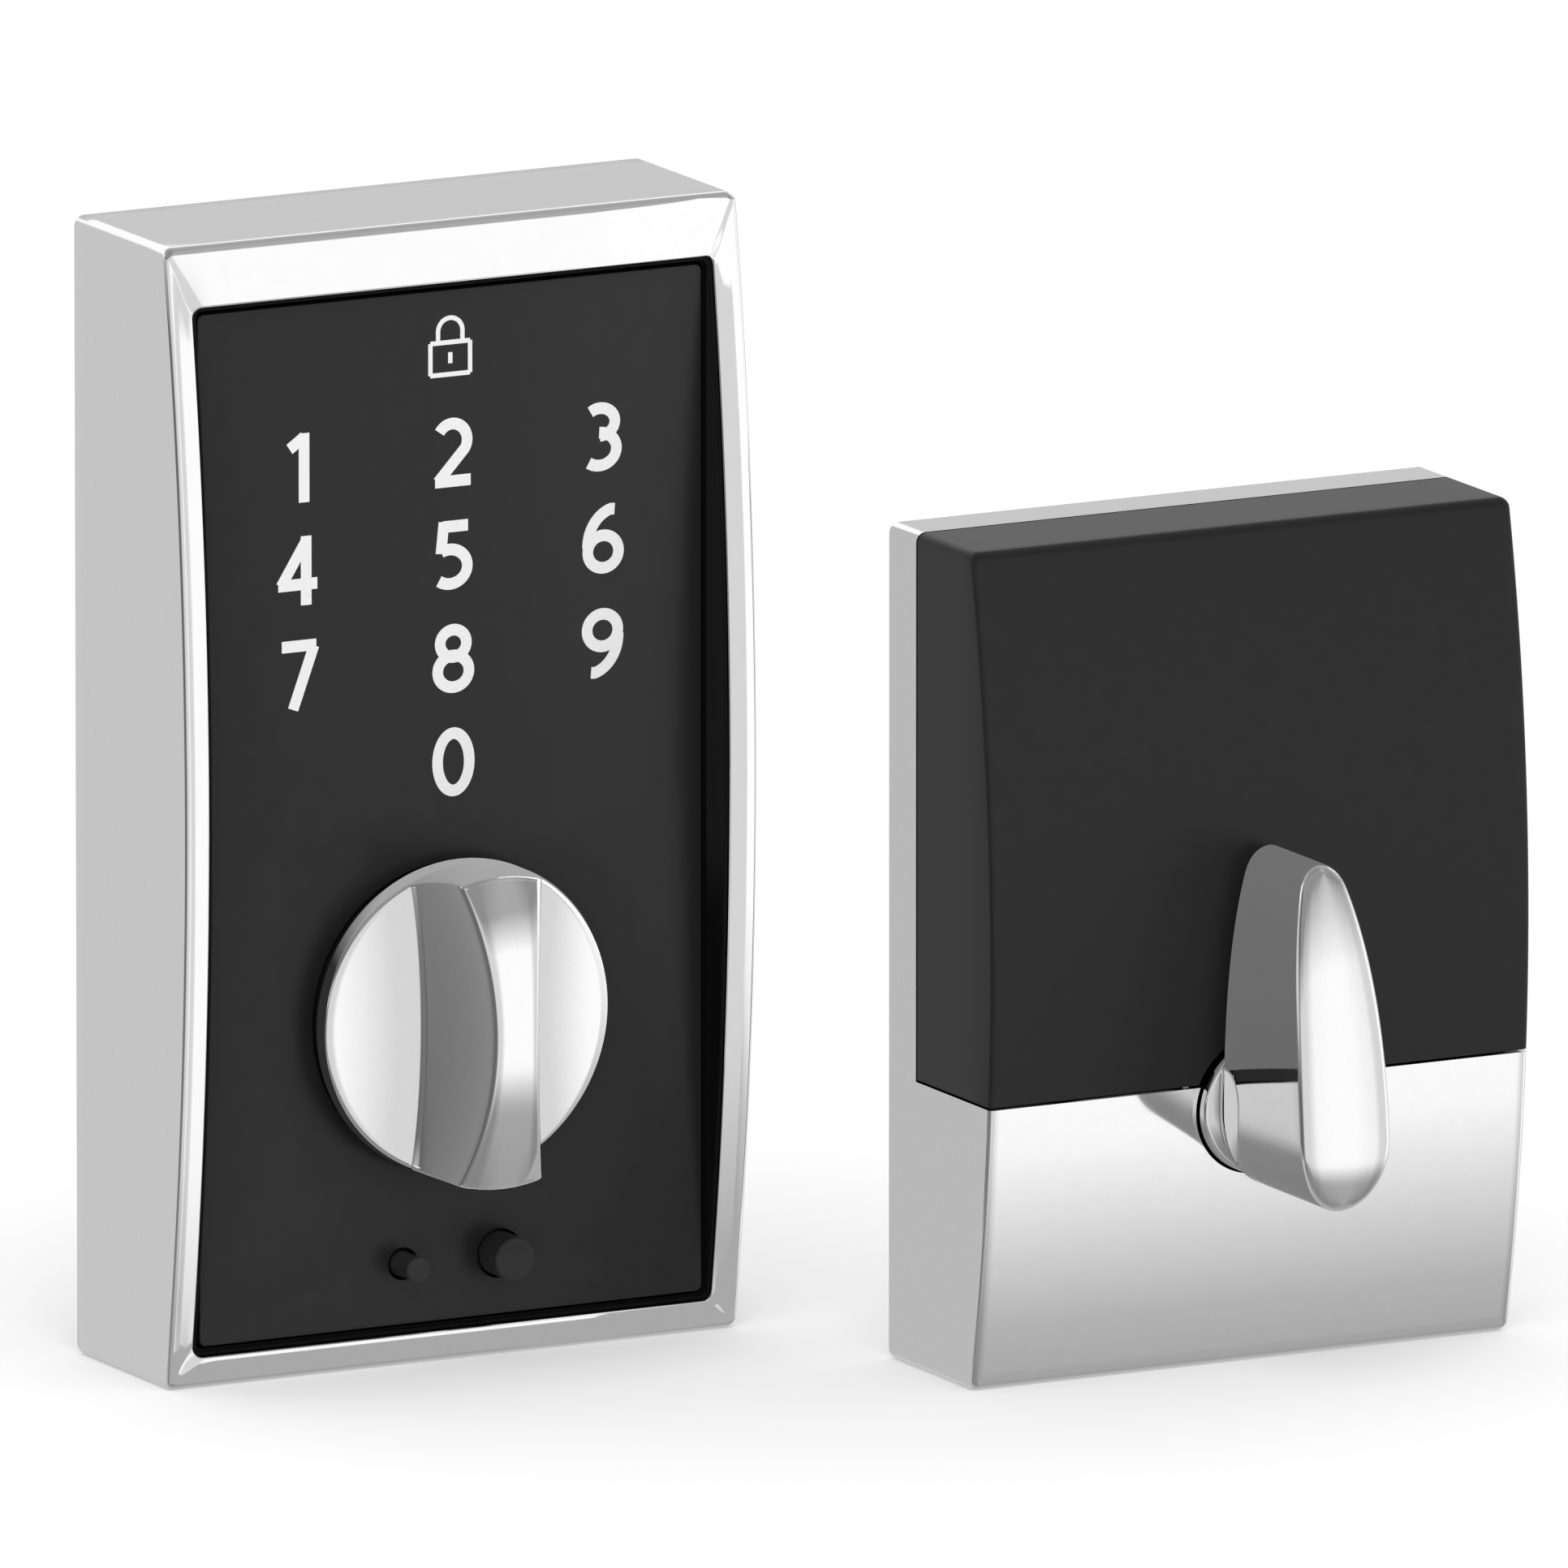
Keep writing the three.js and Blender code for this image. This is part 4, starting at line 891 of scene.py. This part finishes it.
def digit_strokes():
    """Centre lines of each digit, x from its middle and z from its foot, in millimetres."""
    s, top = STROKE / 2, DIGIT_HEIGHT
    six = [
        arc(0.05, 2.62, 2.02, 2.62 - s, 0, 360, 48),
        [(1.55, top - s * 0.9)] + arc(2.0, 3.3, 4.0, 4.45, 104, 182, 20),
    ]
    return {
        "0": [arc(0, top / 2, 2.08, top / 2 - s, 0, 360, 56)],
        "1": [[(0.75, 0), (0.75, top)], [(-1.15, top - 1.75), (0.75, top - 0.45)]],
        "2": [
            arc(-0.1, top - s - 2.0, 1.95, 2.0, 148, -32, 28) + [(-2.0, s)],
            [(-2.35, s), (2.3, s)],
        ],
        "3": [
            arc(-0.35, top - s - 1.65, 1.95, 1.65, 130, -90, 26),
            arc(-0.45, s + 1.95, 2.25, 1.95, 90, -128, 28),
        ],
        "4": [[(1.0, 0), (1.0, top)], [(-2.65, 2.5), (2.45, 2.5)], [(-2.3, 2.45), (1.0, top - 0.55)]],
        "5": [
            [(-1.35, top - s), (1.95, top - s)],
            [(-1.2, top - 0.1), (-1.6, 4.35)],
            arc(-0.45, s + 2.05, 2.3, 2.05, 118, -128, 30),
        ],
        "6": six,
        "7": [[(-2.2, top - s), (2.3, top - s)], [(2.0, top - 0.8), (-0.75, 0)]],
        "8": [
            arc(0, top - s - 1.62, 1.72, 1.62, 0, 360, 48),
            arc(0, s + 1.88, 2.05, 1.88, 0, 360, 48),
        ],
        "9": [[(-x, top - z) for x, z in stroke] for stroke in six],
    }


def ribbon(stroke, width, y0, y1):
    """A stroke of the given width as a thin closed slab."""
    closed = len(stroke) > 8 and (Vector(stroke[0]) - Vector(stroke[-1])).length < 1e-3
    line = [Vector(p) for p in (stroke[:-1] if closed else stroke)]
    count = len(line)
    rows = []
    for i, p in enumerate(line):
        before = line[i - 1] if closed or i else line[0]
        after = line[(i + 1) % count] if closed or i < count - 1 else line[-1]
        along = (after - before).normalized()
        side = Vector((-along.y, along.x)) * width / 2
        rows.append([(p + side, y0), (p - side, y0), (p - side, y1), (p + side, y1)])
    points = [(q.x, y, q.y) for row in rows for q, y in row]
    faces = []
    for i in range(count if closed else count - 1):
        a, b = 4 * i, 4 * ((i + 1) % count)
        faces += [(a + k, a + (k + 1) % 4, b + (k + 1) % 4, b + k) for k in range(4)]
    if not closed:
        faces += [(3, 2, 1, 0), tuple(4 * (count - 1) + k for k in range(4))]
    return points, faces


def printed(name, strokes, x, z, width):
    """Strokes printed on the screen, with their foot at height z."""
    points, faces = [], []
    for layer, stroke in enumerate(strokes):
        front_y = SCREEN_FRONT - INK - INK_LAYER * layer
        more, more_faces = ribbon(stroke, width, front_y, SCREEN_FRONT + INK_ROOT)
        faces += [tuple(i + len(points) for i in f) for f in more_faces]
        points += [(px + x, py, pz + z) for px, py, pz in more]
    piece = make_piece(name, place(OUTSIDE_AT, points), faces, PRINT)
    return finish_piece(piece, "casings", "white_plastic")


def print_digits():
    strokes = digit_strokes()
    foot = DIGIT_HEIGHT / 2
    for number in range(1, 10):
        column, row = (number - 1) % 3, (number - 1) // 3
        printed(f"digit_{number}", strokes[str(number)], COLUMNS[column], ROWS[row] - foot, STROKE)
    printed("digit_0", strokes["0"], COLUMNS[1], ROWS[3] - foot, STROKE)


def print_padlock():
    """A plain padlock sign, the generic mark at the top of the screen."""
    body = [(-2.6, 0.3), (2.6, 0.3), (2.6, 4.1), (-2.6, 4.1), (-2.6, 0.3)]
    sides = [[body[i], body[i + 1]] for i in range(4)]
    shackle = [(-1.6, 4.1)] + arc(0, 5.4, 1.6, 1.6, 180, 0, 18) + [(1.6, 4.1)]
    printed("padlock_sign", sides + [shackle, [(0, 1.6), (0, 2.9)]], 0, PADLOCK_FOOT, PADLOCK_STROKE)


# ---- Pieces behind the covers --------------------------------------------------------------

CELL_SHOULDER, CELL_GROOVE, CELL_CUP = 1.4, 1.9, 0.25  # depths from the ends
CELL_CAP = 2.7


def cells():
    """Four AA cells with a foil sleeve, a rolled shoulder and a raised end."""
    for number in range(1, 5):
        name = f"battery_{number}"
        low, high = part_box(name)
        middle = (low + high) / 2
        length, radius = (high.x - low.x) / MM, (high.z - low.z) / 2 / MM
        side = -1 if number % 2 else 1
        half = length / 2
        shoulder, groove, cup = half - CELL_SHOULDER, half - CELL_GROOVE, -half + CELL_CUP
        profile = rounded(
            [(0, cup), (radius * 0.62, cup), (radius * 0.7, -half), (radius, -half),
             (radius, shoulder), (radius * 0.8, shoulder), (radius * 0.74, groove), (CELL_CAP, groove),
             (CELL_CAP, half), (0, half)],
            0.45,
        )
        loops = []
        for r, along in profile:
            loops.append([(side * along, r * math.cos(t), r * math.sin(t)) for t in circle(64)])
        piece = make_piece(f"cell_{number}", place(middle, flatten(loops)), bridge(loops), CELL)
        finish_piece(piece, "casings", "cell", name)


INNER_LOOKS = {
    WHITE_PLASTIC: ("light_guide", "cable_socket", "clutch_cam", "inside_socket"),
    CIRCUIT: ("touch_board", "inside_board"),
    BLACK_TRIM: (
        "touch_controller", "contact_block", "motor_clamp", "battery_tray", "board_carrier", "sounder",
    ),
    ZINC: ("mechanism_frame", "outside_chassis", "mounting_plate"),
    BRASS: ("clutch_ring",),
    RUBBER: ("cable_grommet", "door_gasket"),
}


def dress_frame():
    """Gives every carried-over node its material and a small edge radius."""
    chosen = {node: material for material, nodes in INNER_LOOKS.items() for node in nodes}
    for name, node in NODES.items():
        node.data.materials.clear()
        node.data.materials.append(chosen.get(name, STEEL))
        bevel(node)


outside_casing()
lower_casing()
upper_cover()
knob()
thumb_turn()
screen_panel()
screen_seal()
knob_bush()
jump_contacts()
turn_ring()
print_digits()
print_padlock()
cells()
dress_frame()


# ---- Stage ---------------------------------------------------------------------------------

WHITE = (1, 1, 1, 1)
FLOOR_SIDE, FLOOR_COLOUR, FLOOR_GLOW = 8.0, (0.86, 0.86, 0.86, 1), 0.2
WORLD_LIGHT = 0.92
LAMP_SIZE, LAMP_POWER = 1.0, 6.0
LAMP_AT, LAMP_AIM = Vector((-0.6, -0.9, 1.5)), Vector((0, 0, 0.05))
CHROME_ONLY = ("camera", "diffuse", "transmission", "shadow", "volume_scatter")

# The glowing card between the units, a painted reflection, in metres: how far it starts behind the inside
# unit's front and ends behind its door face, its heights, and the height over which its painted grey on the
# left side goes from grey to white.
CARD_NEAR, CARD_FAR, CARD_LOW, CARD_HIGH = 0.006, 0.015, -0.06, 0.15
CARD_RISE, CARD_LEFT = 0.06, [(0.1, 0.44), (0.35, 0.6), (0.55, 0.9), (0.8, 1.12)]
CARD_RIGHT = (0.54, 0.54, 0.54, 1.0)

# The room that chrome sees: greys at shares of the way up or from left to right.
BACK_LEVEL = 0.62
ROOM_FRONT = [
    (0.10, 0.38), (0.225, 0.42), (0.25, 0.50), (0.28, 0.72), (0.322, 1.06), (0.35, 1.1), (0.60, 1.1),
    (0.68, 0.43), (0.85, 0.46), (1.0, 0.35),
]
ROOM_BEHIND = [
    (0.0, 0.42), (0.3, BACK_LEVEL), (0.64, BACK_LEVEL), (0.70, 1.1), (0.80, 1.1), (0.86, 0.5), (1.0, 0.35),
]
ROOM_ACROSS = [
    (0.0, 0.22), (0.12, 0.30), (0.22, 0.68), (0.66, 0.68), (0.715, 1.0), (0.745, 1.0), (0.78, 0.68),
    (0.835, 0.68), (0.865, 1.0),
]
LEFT_STRIP = [(0.0, 0.19), (0.03, 0.22), (0.085, 1.0)]
LEFT_STRIP_HEIGHT = [(0.25, 0.0), (0.3, 1.0), (0.48, 1.0), (0.54, 0.0)]


def make_sheet(name, corners, surface, unseen_by):
    """A flat stage piece with the shader that surface(nodes) returns."""
    material = bpy.data.materials.new(name)
    material.use_nodes = True
    nodes = Nodes(material.node_tree)
    nodes.add("ShaderNodeOutputMaterial", Surface=surface(nodes))
    mesh = bpy.data.meshes.new(name)
    mesh.from_pydata(corners, [], [(0, 1, 2, 3)])
    mesh.materials.append(material)
    sheet = bpy.data.objects.new(name, mesh)
    for kind in unseen_by:
        setattr(sheet, f"visible_{kind}", False)
    bpy.context.scene.collection.objects.link(sheet)


def make_floor():
    """A white floor that keeps the shadows. Chrome sees the room round it instead."""

    def surface(nodes):
        diffuse = nodes.add("ShaderNodeBsdfDiffuse", Color=FLOOR_COLOUR).outputs[0]
        glow = nodes.add("ShaderNodeEmission", Color=WHITE, Strength=FLOOR_GLOW).outputs[0]
        both = nodes.add("ShaderNodeAddShader")
        nodes.set(both, 0, diffuse)
        nodes.set(both, 1, glow)
        return nodes.choose(nodes.seen(), diffuse, both.outputs[0])

    side = FLOOR_SIDE
    corners = [(-side, -side, 0), (side, -side, 0), (side, side, 0), (-side, side, 0)]
    make_sheet("floor", corners, surface, ["glossy"])


def make_card():
    """A glowing card between the two units, which keeps each of them out of the other's reflections and puts
    a painted reflection in their place: grey on its right side, and grey to white by height on its left.
    """

    def surface(nodes):
        geometry = nodes.add("ShaderNodeNewGeometry").outputs
        share = nodes.math("DIVIDE", nodes.axes(geometry["Position"])["Z"], CARD_RISE, clamp=True)
        colour = nodes.mix(geometry["Backfacing"], nodes.ramp(share, CARD_LEFT), CARD_RIGHT)
        return nodes.add("ShaderNodeEmission", Color=colour, Strength=1.0).outputs[0]

    inside_low, inside_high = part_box("inside_housing")
    x = (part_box("outside_housing")[1].x + inside_low.x) / 2
    near, far = inside_low.y + CARD_NEAR, inside_high.y + CARD_FAR
    corners = [(x, near, CARD_LOW), (x, near, CARD_HIGH), (x, far, CARD_HIGH), (x, far, CARD_LOW)]
    make_sheet("card", corners, surface, CHROME_ONLY)


def make_panel_card(name, low, high, stops, fall=0.0):
    """An upright glowing card that only chrome sees, seen from one side: a painted reflection, grey by
    height, with painted shade that darkens it by fall towards low.x.

    With low.x at the left it is seen from the front, and with low.x at the right from behind.
    """

    def surface(nodes):
        geometry = nodes.add("ShaderNodeNewGeometry").outputs
        x, _, z = nodes.axes(geometry["Position"])
        height = nodes.math("DIVIDE", nodes.math("SUBTRACT", z, low.z), high.z - low.z)
        across = nodes.math("DIVIDE", nodes.math("SUBTRACT", x, low.x), high.x - low.x)
        strength = nodes.math("MULTIPLY_ADD", across, fall, 1.0 - fall)
        glow = nodes.add("ShaderNodeEmission", Color=nodes.ramp(height, stops), Strength=strength)
        clear = nodes.add("ShaderNodeBsdfTransparent")
        return nodes.choose(geometry["Backfacing"], glow.outputs[0], clear.outputs[0])

    y = low.y
    corners = [(low.x, y, low.z), (high.x, y, low.z), (high.x, y, high.z), (low.x, y, high.z)]
    make_sheet(name, corners, surface, CHROME_ONLY)


def make_panel_cards():
    """Painted reflections for the knob, the lever and the bezel's foot: dark glowing cards on the panels, and
    one in front.
    """
    x0, x1, z0, z1 = window_rect(-0.4)
    y = SCREEN_FRONT - 0.2
    knob_top = (KNOB_Z + KNOB_RADIUS - z0) / (z1 - z0)
    corners = place(OUTSIDE_AT, [(x0, y, z0), (x1, y, z1)])
    # Painted reflection on the screen for the knob's rim: dark up to just below the knob's top, grey above
    # it.
    make_panel_card("screen_painted_reflection", *corners, [(knob_top - 0.08, 0.03), (knob_top - 0.01, 0.42)])
    y = KNOB_FACE - 0.1
    corners = place(OUTSIDE_AT, [(x0, y, KNOB_Z - 30), (0, y, KNOB_Z + 30)])
    # Painted reflection for the knob's bar: grey, lighter near the knob's top, with painted shade that
    # darkens it towards the left.
    make_panel_card("knob_painted_reflection", *corners, [(0.3, 0.34), (0.76, 0.34), (0.8, 0.42)], 0.8)
    y = SCREEN_FRONT - 11
    corners = place(OUTSIDE_AT, [(60, y, -14), (-45, y, -1.0)])
    # Painted reflection for the bezel's foot: an even grey, seen from behind.
    make_panel_card("foot_painted_reflection", *corners, [(0.0, 0.44), (1.0, 0.44)])
    half = INSIDE.width / 2 - 1
    y = INSIDE.front(INSIDE.height / 2) - 0.2
    corners = place(INSIDE_AT, [(-half, y, COVER_SPLIT + 2), (half, y, INSIDE.height - 6)])
    # Painted reflection of the black cover for the lever: a dark grey, a little lighter upward.
    make_panel_card("cover_painted_reflection", *corners, [(0.0, 0.16), (1.0, 0.20)])


def make_world():
    """A soft white room. Chrome sees bands of grey and white instead, and a dark strip at the left."""
    world = bpy.data.worlds.new("studio")
    bpy.context.scene.world = world
    world.use_nodes = True
    nodes = Nodes(world.node_tree)
    direction = nodes.add("ShaderNodeTexCoord").outputs["Generated"]
    x, y, z = (nodes.math("MULTIPLY_ADD", axis, 0.5, 0.5) for axis in nodes.axes(direction))
    before = nodes.ramp(y, [(0.3, 1.0), (0.5, 0.0)])
    front = nodes.mix(before, nodes.ramp(z, ROOM_FRONT), nodes.ramp(x, ROOM_ACROSS), "MULTIPLY")
    behind = nodes.ramp(y, [(0.46, 0.0), (0.56, 1.0)])
    room = nodes.mix(behind, front, nodes.ramp(z, ROOM_BEHIND))
    strip = nodes.ramp(z, LEFT_STRIP_HEIGHT)
    room = nodes.mix(strip, room, nodes.ramp(x, LEFT_STRIP), "MULTIPLY")

    def background(colour, strength):
        return nodes.add("ShaderNodeBackground", Color=colour, Strength=strength).outputs[0]

    glossy = nodes.add("ShaderNodeLightPath").outputs["Is Glossy Ray"]
    lit = nodes.choose(glossy, background(WHITE, WORLD_LIGHT), background(room, 1.0))
    nodes.add("ShaderNodeOutputWorld", Surface=nodes.choose(nodes.seen(), lit, background(WHITE, 1.0)))


def make_lamp():
    """A soft square lamp that chrome doesn't see."""
    data = bpy.data.lights.new("key", "AREA")
    data.size = LAMP_SIZE
    data.energy = LAMP_POWER
    lamp = bpy.data.objects.new("key", data)
    lamp.location = LAMP_AT
    lamp.rotation_euler = (LAMP_AIM - LAMP_AT).to_track_quat("-Z", "Y").to_euler()
    lamp.visible_glossy = False
    bpy.context.scene.collection.objects.link(lamp)


make_floor()
make_card()
make_panel_cards()
make_world()
make_lamp()
bpy.context.scene.view_settings.view_transform = "Standard"
